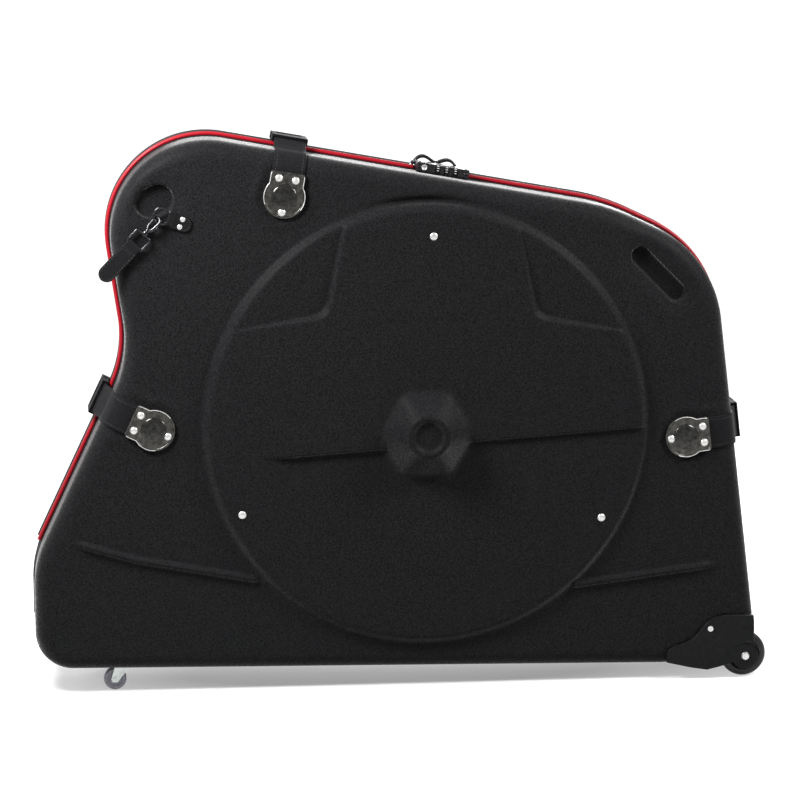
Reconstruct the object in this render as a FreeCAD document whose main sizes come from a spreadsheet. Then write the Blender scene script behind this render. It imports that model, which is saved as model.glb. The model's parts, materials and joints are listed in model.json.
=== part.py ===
import FreeCAD, Part
import math
import os

Vector = FreeCAD.Vector

# Bike travel case: two moulded halves hinged along the bottom, standing on two fixed wheels and two castors.
# X runs along the case, the front half lies on the -Y side of the parting plane, Z is up from the floor.
# Every size is in millimetres.
SIZES = {
    # raised disc over the packed wheel, round which the outline is drawn
    "disc_x": 37, "disc_low_z": 73, "disc_radius": 363, "disc_rise": 13, "disc_slope": 13, "disc_edge": 5,
    # corners of the outline on the parting plane, before rounding: gap outside the disc's side,
    # height over the floor or rise over the disc's middle or top, and radius
    "low_left_gap": 273, "low_left_z": 41, "low_left_radius": 62,
    "toe_gap": 273, "toe_z": 214, "toe_radius": 170,
    "waist_gap": 114, "waist_rise": 112, "waist_radius": 200,
    "crown_gap": 171.4, "crown_rise": 136.3, "crown_radius": 155,
    "shoulder_gap": -62, "shoulder_rise": -13, "shoulder_radius": 350,
    "tail_gap": 111.5, "tail_rise": -95, "tail_radius": 190,
    "low_right_gap": 196, "low_right_z": 20.5, "low_right_radius": 45,
    # moulded shell
    "wall": 5, "rim_gap": 13, "face_depth": 105, "edge_radius": 28,
    "hub_shift": -1, "hub_drop": 10.5, "hub_radius": 77, "hub_cap_radius": 36, "hub_rise": 36,
    "hub_edge_radius": 9, "hub_ring_rise": 4, "hub_dish_radius": 23, "hub_dish_depth": 6,
    "sector_depth": 10, "sector_rim_depth": 2, "sector_round": 28, "recess_slope": 1.6,
    "left_sector_x": -157, "left_sector_z": 179, "left_sector_side": 187.3, "left_sector_top": 80,
    "right_sector_x": 173, "right_sector_z": 172, "right_sector_side": -8.7, "right_sector_top": 99.8,
    "step_depth": 7, "step_end_depth": 0.4, "step_drop": 30, "step_end_gap": 17, "step_round": 30,
    "step_x": -264, "step_z": -48, "step_top": 3.9, "step_side": -84.7,
    "groove_inset": 5, "groove_width": 12, "groove_depth": 20, "groove_start": 72, "groove_end": 108,
    "bead_radius": 9, "bead_sink": 4, "bead_taper": 24,
    "slot_gap": 16, "slot_drop": 122, "slot_length": 116, "slot_width": 33, "slot_angle": -45,
    "slot_depth": 16,
    "thumb_gap": 71, "thumb_rise": 5, "thumb_length": 64, "thumb_width": 50, "thumb_angle": 25,
    "thumb_depth": 15,
    "pocket_lean": 0.25,
    # piping, zip and hinge band
    "tape_thickness": 1.2, "tape_width": 11, "chain_width": 3.2, "chain_height": 3.2, "half_gap": 0.4,
    "piping_radius": 3.2, "piping_end_z": 240, "zip_end_z": 112, "lay_gap": 0.1,
    "band_thickness": 1.6, "band_width": 38, "band_left_gap": 79, "band_right_gap": 176,
    # closing straps
    "strap_width": 52, "strap_thickness": 3, "plate_thickness": 3, "plate_radius": 34, "plate_neck": 56,
    "plate_reach": 40, "boss_radius": 21.5, "boss_height": 4.5, "rivet_seat_gap": 0.4,
    "rivet_head_radius": 6.3, "rivet_head_height": 3,
    "rivet_radius": 1.9, "rivet_pitch": 27, "rivet_reach": 29, "rivet_back": 24.5, "hole_gap": 0.05,
    "top_set_inset": 147, "top_set_back": 70, "left_set_rise": 36, "left_set_back": 81,
    "right_set_drop": 16, "right_set_back": 84,
    "buckle_width": 58, "buckle_height": 12, "buckle_lift": 9, "socket_length": 34, "socket_start": -3,
    "socket_wall": 2.6, "tongue_length": 28, "prong_width": 9, "prong_length": 22, "buckle_gap": 0.8,
    "guide_width": 14, "guide_short": 4, "buckle_pocket": 8, "buckle_edge": 2,
    # lock and zip sliders
    "lock_offset": 31, "lock_length": 86, "lock_height": 15, "lock_depth": 40, "lock_front": 50,
    "lock_lift": 1.6,
    "lock_edge": 3,
    "dial_radius": 6.5, "dial_width": 6, "dial_pitch": 14.5, "dial_gap": 0.4,
    "dial_shift": 6, "dial_sink": 4.5, "dial_shaft": 1.5, "button_x": -31, "button_radius": 5,
    "button_proud": 2.5,
    "button_length": 14,
    "button_gap": 0.3, "slider_length": 22, "slider_width": 15, "slider_height": 4, "left_slider_x": -45,
    "right_slider_x": 28,
    "slider_end": 1.2, "slider_flat": 5, "pin_rise": 3.6, "pin_radius": 1.2, "pull_width": 11,
    "pull_front": 9.5,
    "pull_thickness": 2.4, "joint_gap": 0.4,
    # ring tab, ring, hook and tow strap
    "tab_gap": 32, "tab_drop": 28, "tab_width": 26, "tab_length": 40, "tab_thickness": 3.5,
    "tab_angle": 158,
    "tab_rivet_pitch": 13, "tab_rivet_back": 3, "tab_rivet_radius": 1.8, "tab_rivet_head": 4,
    "ring_radius": 13, "ring_wire": 2.3, "ring_offset": 30, "ring_lift": 7.2, "hook_angle": 226,
    "swivel_length": 24, "swivel_width": 32, "tow_width": 27, "tow_thickness": 5, "tow_length": 62,
    # fixed wheel and its housing
    "wheel_inset": 27, "wheel_y": 85, "wheel_radius": 38, "wheel_width": 24, "wheel_core": 25,
    "wheel_hub": 11.2,
    "bearing_width": 7, "axle_radius": 4, "spoke_hole": 2.6, "spoke_circle": 18,
    "housing_front": 111, "housing_back": 58, "well_gap": 5, "well_side": 5, "guard": 3, "axle_boss": 21,
    # castor
    "castor_inset": 141, "castor_y": 70, "castor_pad_z": 51, "castor_recess": 32, "castor_plate": 42,
    "castor_plate_thickness": 2.5, "castor_race": 15, "castor_race_height": 4, "castor_trail": 13,
    "castor_wheel_radius": 19.5, "castor_wheel_width": 16, "castor_axle_radius": 3, "castor_sheet": 2,
    "castor_inner_width": 19, "kingpin_radius": 4, "kingpin_head": 5, "screw_radius": 2, "screw_head": 4,
    "screw_head_height": 1.6, "screw_pitch": 31, "housing_screw": 10,
    # fasteners of the disc and the wheel straps that they hold inside
    "top_screw_angle": 88.1, "top_screw_inset": 53.8, "left_screw_angle": 204.9, "left_screw_inset": 32.4,
    "right_screw_angle": 331.3, "right_screw_inset": 35.9, "disc_screw_head": 6.5, "disc_screw_height": 2.4,
    "disc_screw_length": 16, "inner_strap_gap": 2.4,
    "inner_strap_length": 110, "inner_strap_width": 25, "inner_strap_thickness": 2,
}

doc = FreeCAD.newDocument("bike_travel_case")
sheet = doc.addObject("Spreadsheet::Sheet", "sizes")
for row, (name, value) in enumerate(SIZES.items(), start=1):
    sheet.set("A%d" % row, name)
    sheet.set("B%d" % row, str(value))
    sheet.setAlias("B%d" % row, name)
doc.recompute()


def size(name):
    return float(sheet.get(name))


def bind(item, **links):
    for prop, expression in links.items():
        item.setExpression(prop, expression)
    return item


def named(item, label):
    item.Label = label
    return item


def shape_item(label, shape, placement=None):
    item = doc.addObject("Part::Feature", label)
    item.Shape = shape
    if placement is not None:
        item.Placement = placement.multiply(shape.Placement)
    return item


def cylinder(label, radius, height, base, axis):
    item = doc.addObject("Part::Cylinder", label)
    bind(item, Radius=radius, Height=height)
    item.Placement = FreeCAD.Placement(base, FreeCAD.Rotation(Vector(0, 0, 1), axis))
    return item


def extrusion(label, profile, direction, length):
    item = doc.addObject("Part::Extrusion", label)
    item.Base = profile
    item.DirMode = "Custom"
    item.Dir = direction
    item.Solid = True
    bind(item, LengthFwd=length)
    return item


def fuse(label, items):
    item = doc.addObject("Part::MultiFuse", label)
    item.Shapes = items
    item.Refine = True
    return item


def cut(label, base, tool):
    item = doc.addObject("Part::Cut", label)
    item.Base = base
    item.Tool = tool
    item.Refine = True
    return item


def mirrored(label, source):
    item = doc.addObject("Part::Mirroring", label)
    item.Source = source
    item.Base = Vector(0, 0, 0)
    item.Normal = Vector(0, 1, 0)
    return item


# Outline, drawn round the disc

DISC_X = size("disc_x")
DISC_Z = size("disc_low_z") + size("disc_radius")
DISC_LEFT = DISC_X - size("disc_radius")
DISC_RIGHT = DISC_X + size("disc_radius")
DISC_TOP = DISC_Z + size("disc_radius")
CORNERS = {
    "low_left": (DISC_LEFT - size("low_left_gap"), size("low_left_z")),
    "toe": (DISC_LEFT - size("toe_gap"), size("toe_z")),
    "waist": (DISC_LEFT - size("waist_gap"), DISC_Z + size("waist_rise")),
    "crown": (DISC_LEFT - size("crown_gap"), DISC_TOP + size("crown_rise")),
    "shoulder": (DISC_RIGHT + size("shoulder_gap"), DISC_TOP + size("shoulder_rise")),
    "tail": (DISC_RIGHT + size("tail_gap"), DISC_TOP + size("tail_rise")),
    "low_right": (DISC_RIGHT + size("low_right_gap"), size("low_right_z")),
}
HUB_X = DISC_X + size("hub_shift")
HUB_Z = DISC_Z - size("hub_drop")
POCKETS = {
    "slot": Vector(DISC_RIGHT + size("slot_gap"), 0, DISC_TOP - size("slot_drop")),
    "thumb": Vector(DISC_LEFT - size("thumb_gap"), 0, DISC_TOP + size("thumb_rise")),
}
# How far a cutting shape reaches past what it cuts
BEYOND = 100


def outline_corners():
    return [(x, z, size(name + "_radius")) for name, (x, z) in CORNERS.items()]


def offset_corners(corners, inset):
    """Moves every side of a clockwise polygon inwards; convex radii shrink and hollow ones grow."""
    count = len(corners)
    lines = []
    for i in range(count):
        x0, z0, _ = corners[i]
        x1, z1, _ = corners[(i + 1) % count]
        length = math.hypot(x1 - x0, z1 - z0)
        dx, dz = (x1 - x0) / length, (z1 - z0) / length
        lines.append((x0 + dz * inset, z0 - dx * inset, dx, dz))
    moved = []
    for i in range(count):
        ax, az, adx, adz = lines[i - 1]
        bx, bz, bdx, bdz = lines[i]
        cross = adx * bdz - adz * bdx
        t = ((bx - ax) * bdz - (bz - az) * bdx) / cross
        radius = corners[i][2]
        if radius > 0:
            radius = radius - inset if cross < 0 else radius + inset
        moved.append((ax + adx * t, az + adz * t, max(radius, 0)))
    return moved


def rounded_wire(corners, height_of):
    """A closed wire through rounded corners; height_of gives y at each (x, z), so the plane may tilt."""
    count = len(corners)
    starts, middles, ends = [], [], []
    for i in range(count):
        px, pz, _ = corners[i - 1]
        x, z, radius = corners[i]
        nx, nz, _ = corners[(i + 1) % count]
        a = math.hypot(px - x, pz - z)
        b = math.hypot(nx - x, nz - z)
        ux, uz = (px - x) / a, (pz - z) / a
        vx, vz = (nx - x) / b, (nz - z) / b
        half = math.acos(max(-1, min(1, ux * vx + uz * vz))) / 2
        reach = radius / math.tan(half)
        mx, mz = ux + vx, uz + vz
        norm = math.hypot(mx, mz)
        gap = radius / math.sin(half) - radius
        starts.append((x + ux * reach, z + uz * reach))
        ends.append((x + vx * reach, z + vz * reach))
        middles.append((x + mx / norm * gap, z + mz / norm * gap))

    def lift(point):
        return Vector(point[0], height_of(*point), point[1])

    edges = []
    for i in range(count):
        if corners[i][2] > 0:
            edges.append(Part.Arc(lift(starts[i]), lift(middles[i]), lift(ends[i])).toShape())
        after = (i + 1) % count
        edges.append(Part.LineSegment(lift(ends[i]), lift(starts[after])).toShape())
    return Part.Wire(edges)


def outline_wire(inset, y):
    return rounded_wire(offset_corners(outline_corners(), inset), lambda x, z: y)


def outline_band(inner, outer, y0, y1):
    """A band that follows the outline between two insets, from y0 to y1."""
    face = Part.Face(outline_wire(outer, y0)).cut(Part.Face(outline_wire(inner, y0)))
    return face.extrude(Vector(0, y1 - y0, 0))


def edges_at(shape, y):
    found = []
    for edge in shape.Edges:
        if all(abs(v.Point.y - y) < 1e-4 for v in edge.Vertexes):
            found.append(edge)
    return found


# Shell

FACE_Y = -size("face_depth")
DISC_Y = FACE_Y - size("disc_rise")
HUB_Y = DISC_Y - size("hub_rise")
RIM_Y = -size("rim_gap")


def tub(inset, rim_y):
    """The tub: rounded outside (inset 0), chamfered inside (inset the wall)."""
    face_y = FACE_Y + inset
    body = Part.Face(outline_wire(inset, rim_y)).extrude(Vector(0, face_y - rim_y, 0))
    if inset > 0:
        return body.makeChamfer(size("edge_radius") / 2, edges_at(body, face_y))
    return body.makeFillet(size("edge_radius"), edges_at(body, face_y))


def wheel_disc(inset):
    """The raised disc over the packed wheel."""
    base = size("disc_radius") - inset * 0.6
    top = size("disc_radius") - size("disc_slope") - inset * 0.6
    root = size("wall") + 1
    run = (base - top) / size("disc_rise") * root
    height = size("disc_rise") + root - inset
    start_y = FACE_Y + root
    cone = Part.makeCone(base + run, top, height, Vector(DISC_X, start_y, DISC_Z), Vector(0, -1, 0))
    return cone.makeChamfer(size("disc_edge") - inset * 0.4, edges_at(cone, start_y - height)[:1])


def hub_dome(inset):
    """The six-sided dome over the hub, with flats facing up and down."""
    base_r = size("hub_radius") - inset * 0.8
    top_r = size("hub_cap_radius") * 1.12 - inset * 0.6
    start_y = FACE_Y + inset + 1
    top_y = HUB_Y + inset
    slope = (base_r - top_r) / size("hub_rise")

    def ring(radius, y):
        points = []
        for k in range(7):
            angle = math.radians(60 * k)
            points.append(Vector(HUB_X + radius * math.cos(angle), y, HUB_Z + radius * math.sin(angle)))
        return Part.makePolygon(points)

    body = Part.makeLoft([ring(base_r + slope * (start_y - DISC_Y), start_y), ring(top_r, top_y)], True,
                         True)
    flanks = []
    for edge in body.Edges:
        ys = [v.Point.y for v in edge.Vertexes]
        if abs(ys[0] - ys[1]) > 1:
            flanks.append(edge)
    return body.makeFillet(size("hub_edge_radius") - inset * 0.5, flanks)


def hub_cap():
    """The ring on top of the dome and the dish inside it."""
    centre = Vector(HUB_X, HUB_Y + 3, HUB_Z)
    height = size("hub_ring_rise") + 3
    ring = Part.makeCone(size("hub_cap_radius") + 2, size("hub_cap_radius") - 3, height, centre,
                         Vector(0, -1, 0))
    return ring.makeChamfer(2, edges_at(ring, centre.y - height)[:1])


def hub_dish():
    top = Vector(HUB_X, HUB_Y - size("hub_ring_rise") - 0.5, HUB_Z)
    return Part.makeCone(size("hub_dish_radius") + 3, size("hub_dish_radius") - 5,
                         size("hub_dish_depth") + 0.5, top, Vector(0, 1, 0))


def recess(corners, floor_of, inset):
    """A shallow recess in the disc: a tilted floor with sloping sides; inset > 0 makes its inner skin."""
    rise = size("disc_rise") + 1 + inset
    floor = offset_corners(corners, -inset * 0.5)
    mouth = offset_corners(corners, -inset * 0.5 - rise * size("recess_slope"))
    low = rounded_wire(floor, lambda x, z: floor_of(x, z) + inset)
    high = rounded_wire(mouth, lambda x, z: floor_of(x, z) + inset - rise)
    return Part.makeLoft([low, high], True, True)


def tilted_floor(x0, z0, depth0, x1, z1, depth1):
    """Depth below the disc's top that runs evenly from one point to another."""
    dx, dz = x1 - x0, z1 - z0
    length2 = dx * dx + dz * dz

    def floor_of(x, z):
        share = ((x - x0) * dx + (z - z0) * dz) / length2
        return DISC_Y + depth0 + (depth1 - depth0) * share
    return floor_of


def corner_place(name):
    return DISC_X + size(name + "_x"), DISC_Z + size(name + "_z")


def wedge(name, rounding, first_angle, second_angle):
    """Corners of a region that opens from one rounded corner, clockwise, past the disc's rim."""
    x, z = corner_place(name)
    reach = 2 * size("disc_radius")
    first, second = math.radians(size(first_angle)), math.radians(size(second_angle))
    ax, az = reach * math.cos(first), reach * math.sin(first)
    bx, bz = reach * math.cos(second), reach * math.sin(second)
    return [(x, z, size(rounding)), (x + ax, z + az, 0), (x + ax + bx, z + az + bz, 0), (x + bx, z + bz, 0)]


STEP_FLOOR = tilted_floor(DISC_X, DISC_Z - size("step_drop"), size("step_depth"),
                          DISC_X, size("disc_low_z") + size("step_end_gap"), size("step_end_depth"))


def disc_recesses(inset):
    """The two upper sectors and the lower step."""
    deep, shallow = size("sector_depth"), size("sector_rim_depth")
    rim = (size("disc_radius") - size("disc_slope")) * math.sqrt(0.5)
    left_floor = tilted_floor(*corner_place("left_sector"), deep, DISC_X - rim, DISC_Z + rim, shallow)
    right_floor = tilted_floor(*corner_place("right_sector"), deep, DISC_X + rim, DISC_Z + rim, shallow)
    left = wedge("left_sector", "sector_round", "left_sector_side", "left_sector_top")
    right = wedge("right_sector", "sector_round", "right_sector_top", "right_sector_side")
    step = wedge("step", "step_round", "step_top", "step_side")
    return [recess(left, left_floor, inset), recess(right, right_floor, inset),
            recess(step, STEP_FLOOR, inset)]


def stadium(name, inset):
    """A rounded pocket in the face with a draft; inset > 0 makes its inner skin."""
    width = size(name + "_width") + 2 * inset
    length = size(name + "_length") + 2 * inset
    depth = size(name + "_depth") + inset
    half = (length - width) / 2
    angle = math.radians(size(name + "_angle"))
    centre = POCKETS[name]
    along = Vector(math.cos(angle), 0, math.sin(angle))
    across = Vector(-math.sin(angle), 0, math.cos(angle))

    def ring(shrink, y):
        r = width / 2 - shrink
        at = centre + Vector(0, y, 0)
        a, b = at + along * half + across * r, at + along * half - across * r
        c, d = at - along * half - across * r, at - along * half + across * r
        return Part.Wire([Part.Arc(a, at + along * (half + r), b).toShape(),
                          Part.LineSegment(b, c).toShape(),
                          Part.Arc(c, at - along * (half + r), d).toShape(),
                          Part.LineSegment(d, a).toShape()])

    lean = size("pocket_lean")
    above = size("disc_rise")
    return Part.makeLoft([ring(lean * depth, FACE_Y + depth), ring(-lean * above, FACE_Y - above)], True,
                         True)


def rim_groove(inset):
    """The groove between the top of the disc and the lip of the shell."""
    middle = size("disc_radius") - size("groove_inset")
    inner = middle - size("groove_width") / 2 - inset
    outer = middle + size("groove_width") / 2 + inset
    centre = Vector(DISC_X, DISC_Y + size("groove_depth") + inset, DISC_Z)
    start, end = math.radians(size("groove_start")), math.radians(size("groove_end"))
    spread = inset / middle

    def at(radius, angle):
        return centre + Vector(radius * math.cos(angle), 0, radius * math.sin(angle))

    a0, a1 = start - spread, end + spread
    mid = (a0 + a1) / 2
    edges = [Part.Arc(at(outer, a0), at(outer, mid), at(outer, a1)).toShape(),
             Part.LineSegment(at(outer, a1), at(inner, a1)).toShape(),
             Part.Arc(at(inner, a1), at(inner, mid), at(inner, a0)).toShape(),
             Part.LineSegment(at(inner, a0), at(outer, a0)).toShape()]
    return Part.Face(Part.Wire(edges)).extrude(Vector(0, -BEYOND, 0))


def bead(points):
    """A raised bead on the face along straight runs, with ends that taper into the face."""
    y = FACE_Y + size("bead_sink")
    radius = size("bead_radius")
    solids = []
    for (x0, z0), (x1, z1) in zip(points, points[1:]):
        a, b = Vector(x0, y, z0), Vector(x1, y, z1)
        solids.append(Part.makeCylinder(radius, (b - a).Length, a, b - a))
    for (x0, z0), (x1, z1) in [(points[1], points[0]), (points[-2], points[-1])]:
        end = Vector(x1, y, z1)
        away = Vector(x1 - x0, 0, z1 - z0)
        solids.append(Part.makeCone(radius, radius / 3, size("bead_taper"), end, away))
    return solids


# Places along each bead: x from the disc's left or right side, and z
LEFT_BEAD = [(-204, 254), (-109, 224), (86, 190)]
RIGHT_BEAD = [(-120, 166), (120, 193)]
BEADS = [[(DISC_LEFT + x, z) for x, z in LEFT_BEAD], [(DISC_RIGHT + x, z) for x, z in RIGHT_BEAD]]


def castor_recess(inset):
    base = Vector(CASTOR.x, CASTOR.y, 0)
    return Part.makeCylinder(size("castor_recess") + inset, CASTOR.z + inset, base)


CASTOR = Vector(CORNERS["low_left"][0] + size("castor_inset"), -size("castor_y"), size("castor_pad_z"))
WHEEL = Vector(CORNERS["low_right"][0] - size("wheel_inset"), -size("wheel_y"), size("wheel_radius"))


def from_axle(points):
    return [(WHEEL.x + x, WHEEL.z + z) for x, z in points]


# The wheel housing's upper edge, its lower edge and its screws, measured from the axle
HOUSING_EDGE = from_axle([(-132, -8), (-131, 9), (-126, 15), (-117, 20), (-100, 25), (-85, 34.5),
                          (-73, 49.5),
                          (-64, 59.5), (-51, 66.5), (-36, 70), (13, 69)])
HOUSING_GAP = 0.3
HOUSING_END = from_axle([(14, 50)])
HOUSING_LOW = from_axle([(-31, -8), (-48, -17), (-64, -22)])
HOUSING_SCREWS = from_axle([(-59.5, 48)])


def prism(points, y0, y1):
    wire = Part.makePolygon([Vector(x, y0, z) for x, z in points + points[:1]])
    return Part.Face(wire).extrude(Vector(0, y1 - y0, 0))


def housing_cutter(grow):
    """What the wheel housing takes out of the shell's corner."""
    points = [(x - grow, z + grow) for x, z in HOUSING_EDGE]
    right = WHEEL.x + BEYOND
    points += [(right, points[-1][1]), (right, -BEYOND), (points[0][0], -BEYOND)]
    return prism(points, HUB_Y, -size("housing_back") + grow)


def shell_shape(holes):
    wall = size("wall")
    outer = tub(0, RIM_Y).fuse([wheel_disc(0), hub_dome(0), hub_cap()])
    for tool in disc_recesses(0):
        keep = outer.common(hub_dome(0).fuse(hub_cap()))
        outer = outer.cut(tool).fuse(keep)
    outer = outer.cut([hub_dish(), stadium("slot", 0), stadium("thumb", 0), rim_groove(0),
                       castor_recess(0)])
    for points in BEADS:
        outer = outer.fuse(bead(points))
    hollow = tub(wall, RIM_Y + 1).fuse([wheel_disc(wall)])
    hollow = hollow.cut(disc_recesses(wall))
    hollow = hollow.fuse(hub_dome(wall))
    hollow = hollow.cut([stadium("slot", wall), stadium("thumb", wall), rim_groove(wall),
                         castor_recess(wall)])
    shell = outer.cut(hollow).cut(housing_cutter(HOUSING_GAP))
    shell = shell.cut(holes)
    solids = sorted(shell.Solids, key=lambda s: s.Volume)
    return solids[-1]


# Closing straps

def foot(corner_a, corner_b, share):
    """A frame on a straight side of the outline: local x along the side, local z outwards."""
    ax, az = CORNERS[corner_a]
    bx, bz = CORNERS[corner_b]
    length = math.hypot(bx - ax, bz - az)
    turn = math.degrees(math.atan2(-(bz - az) / length, (bx - ax) / length))
    base = Vector(ax + (bx - ax) * share, 0, az + (bz - az) * share)
    return FreeCAD.Placement(base, FreeCAD.Rotation(Vector(0, 1, 0), turn))


def foot_at(corner_a, corner_b, axis, value):
    """The frame where a side passes a given x (axis 0) or z (axis 1)."""
    a, b = CORNERS[corner_a][axis], CORNERS[corner_b][axis]
    return foot(corner_a, corner_b, (value - a) / (b - a))


SETS = {
    "top": (foot_at("crown", "shoulder", 0, DISC_LEFT + size("top_set_inset")), "top_set_back"),
    "left": (foot_at("toe", "waist", 1, DISC_Z + size("left_set_rise")), "left_set_back"),
    "right": (foot_at("tail", "low_right", 1, DISC_Z - size("right_set_drop")), "right_set_back"),
}

STRAP_Y = FACE_Y - size("lay_gap")
PLATE_Y = STRAP_Y - size("strap_thickness") - size("lay_gap")
PLATE_TOP_Y = PLATE_Y - size("plate_thickness")
BUCKLE_LOW = size("buckle_lift")
BUCKLE_MID = BUCKLE_LOW + size("buckle_height") / 2
TONGUE_END = size("socket_start") - 1
TONGUE_START = TONGUE_END - size("tongue_length")
POCKET = size("buckle_pocket")


def rivet_places(back):
    """Local (x, z) of the three rivets of a plate whose round centre lies back from the edge."""
    half = size("rivet_pitch") / 2
    return [(-half, size("rivet_reach") - back), (half, size("rivet_reach") - back),
            (0, -size("rivet_back") - back)]


def thick_path(points, thickness):
    """A closed outline round a path of (y, z) points."""
    left, right = [], []
    for i, (y, z) in enumerate(points):
        y0, z0 = points[max(i - 1, 0)]
        y1, z1 = points[min(i + 1, len(points) - 1)]
        length = math.hypot(y1 - y0, z1 - z0)
        ny, nz = -(z1 - z0) / length, (y1 - y0) / length
        left.append((y + ny * thickness / 2, z + nz * thickness / 2))
        right.append((y - ny * thickness / 2, z - nz * thickness / 2))
    return left + right[::-1]


def strap_profile(back):
    """The strap from under its plate, over the rounded edge and up into the buckle, as (y, z)."""
    radius = size("edge_radius")
    rise = size("lay_gap") + size("strap_thickness") / 2
    path = [(FACE_Y - rise, -back - size("rivet_back") - 9)]
    for k in range(13):
        angle = math.radians(180 - 90 * k / 12)
        path.append((FACE_Y + radius + (radius + rise) * math.cos(angle),
                     -radius + (radius + rise) * math.sin(angle)))
    entry = TONGUE_START - 1
    path += [(entry - 24, rise + 0.4), (entry - 14, rise + 4), (entry - 6, BUCKLE_MID - 2),
             (entry, BUCKLE_MID),
             (entry + POCKET, BUCKLE_MID)]
    return thick_path(path, size("strap_thickness"))


def local_prism(points, x0, x1):
    """A prism of (y, z) points along local x."""
    wire = Part.makePolygon([Vector(x0, y, z) for y, z in points + points[:1]])
    return Part.Face(wire).extrude(Vector(x1 - x0, 0, 0))


def box_between(x0, x1, y0, y1, z0, z1):
    return Part.makeBox(x1 - x0, y1 - y0, z1 - z0, Vector(x0, y0, z0))


def drill(places, radius, y0, y1):
    return [Part.makeCylinder(radius, y1 - y0, Vector(x, y0, z), Vector(0, 1, 0)) for x, z in places]


def placed(shape, placement):
    moved = shape.copy()
    moved.Placement = placement.multiply(moved.Placement)
    return moved


HOLE = size("rivet_radius") + size("hole_gap")


def strap_plate(label, placement, back):
    profile = doc.addObject("Part::Feature", label + "_outline")
    round_end = Part.Face(Part.Wire(Part.makeCircle(size("plate_radius"), Vector(0, PLATE_Y, -back),
                                                    Vector(0, 1, 0))))
    half = size("plate_neck") / 2
    neck = Part.makePolygon([Vector(x, PLATE_Y, z) for x, z in [
        (-half, -back), (half, -back), (half, size("plate_reach") - back),
        (-half, size("plate_reach") - back),
        (-half, -back)]])
    profile.Shape = round_end.fuse(Part.Face(neck)).removeSplitter()
    sheet_metal = extrusion(label + "_sheet", profile, Vector(0, -1, 0), "sizes.plate_thickness")
    boss = cylinder(label + "_boss", "sizes.boss_radius", "sizes.boss_height + sizes.plate_thickness",
                    Vector(0, PLATE_Y, -back), Vector(0, -1, 0))
    places = rivet_places(back)
    tools = drill(places, HOLE, PLATE_TOP_Y - 1, PLATE_Y + 1)
    clear = size("rivet_head_radius") + size("rivet_seat_gap")
    tools += drill(places, clear, PLATE_TOP_Y - size("boss_height") - 1, PLATE_TOP_Y)
    holes = shape_item(label + "_holes", Part.makeCompound(tools))
    plate = cut(label, fuse(label + "_blank", [sheet_metal, boss]), holes)
    plate.Placement = placement
    return plate


def front_strap(back):
    half = size("strap_width") / 2
    body = local_prism(strap_profile(back), -half, half)
    return body.cut(drill(rivet_places(back), HOLE, PLATE_Y - 2, FACE_Y + 2))


def rivet(x, z):
    """One rivet with a head on the plate and a shank through plate, strap and shell."""
    at = Vector(x, PLATE_TOP_Y - size("hole_gap"), z)
    length = FACE_Y + size("wall") + size("hole_gap") - at.y
    return headed_pin(at, size("rivet_head_radius"), size("rivet_head_height"), size("rivet_radius"),
                      length)


def strap_slot():
    """Half the height and half the width of the slot that holds a strap's end."""
    return size("strap_thickness") / 2 + 0.2, size("strap_width") / 2 + 0.3


def crest_edges(shape, top):
    return [e for e in shape.Edges if all(v.Point.z > top - 1e-6 for v in e.Vertexes)]


def upright_edges(shape):
    return [e for e in shape.Edges if abs(e.Vertexes[0].Point.z - e.Vertexes[1].Point.z) > 1]


def buckle_tongue():
    half = size("buckle_width") / 2
    top = BUCKLE_LOW + size("buckle_height")
    body = box_between(-half, half, TONGUE_START, TONGUE_END, BUCKLE_LOW, top)
    body = body.makeChamfer(size("buckle_edge"), crest_edges(body, top))
    slot, wide = strap_slot()
    body = body.cut(box_between(-wide, wide, TONGUE_START - 1, TONGUE_START + POCKET,
                                BUCKLE_MID - slot, BUCKLE_MID + slot))
    thin = size("buckle_height") / 2 - size("socket_wall") - size("buckle_gap")
    side = half - size("socket_wall") - size("buckle_gap")
    end = TONGUE_END + size("prong_length")
    prongs = [box_between(side - size("prong_width"), side, TONGUE_END, end, BUCKLE_MID - thin,
                          BUCKLE_MID + thin),
              box_between(-side, size("prong_width") - side, TONGUE_END, end, BUCKLE_MID - thin,
                          BUCKLE_MID + thin),
              box_between(-size("guide_width") / 2, size("guide_width") / 2, TONGUE_END,
                          end - size("guide_short"),
                          BUCKLE_MID - thin, BUCKLE_MID + thin)]
    return body.fuse(prongs).removeSplitter()


def buckle_socket():
    half = size("buckle_width") / 2
    top = BUCKLE_LOW + size("buckle_height")
    start = size("socket_start")
    end = start + size("socket_length")
    wall = size("socket_wall")
    body = box_between(-half, half, start, end, BUCKLE_LOW, top)
    body = body.makeChamfer(size("buckle_edge"), crest_edges(body, top))
    body = body.cut(box_between(wall - half, half - wall, start - 1, end - POCKET - wall,
                                BUCKLE_LOW + wall, top - wall))
    for side in (-1, 1):
        x0, x1 = sorted((side * (half - 2 * wall), side * (half + 1)))
        body = body.cut(box_between(x0, x1, start + 2 * wall, end - POCKET - 2 * wall, BUCKLE_LOW + wall,
                                    top - wall))
    slot, wide = strap_slot()
    return body.cut(box_between(-wide, wide, end - POCKET, end + 1, BUCKLE_MID - slot, BUCKLE_MID + slot))


def rear_strap(back):
    """The rear strap is the front one mirrored, with its end shifted to the socket."""
    half = size("strap_width") / 2
    shift = size("socket_start") + size("socket_length") + TONGUE_START
    points = [(-y + (shift if y > FACE_Y + size("edge_radius") + 5 else 0), z) for y,
              z in strap_profile(back)]
    body = local_prism(points, -half, half)
    return body.cut(drill(rivet_places(back), HOLE, -FACE_Y - 2, -PLATE_Y + 2))


# Wheel disc fasteners, inner straps, ring tab

def on_disc(name):
    """A fastener's place at its angle, inside the disc's rim."""
    angle = math.radians(size(name + "_angle"))
    radius = size("disc_radius") - size(name + "_inset")
    return DISC_X + radius * math.cos(angle), DISC_Z + radius * math.sin(angle)


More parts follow.
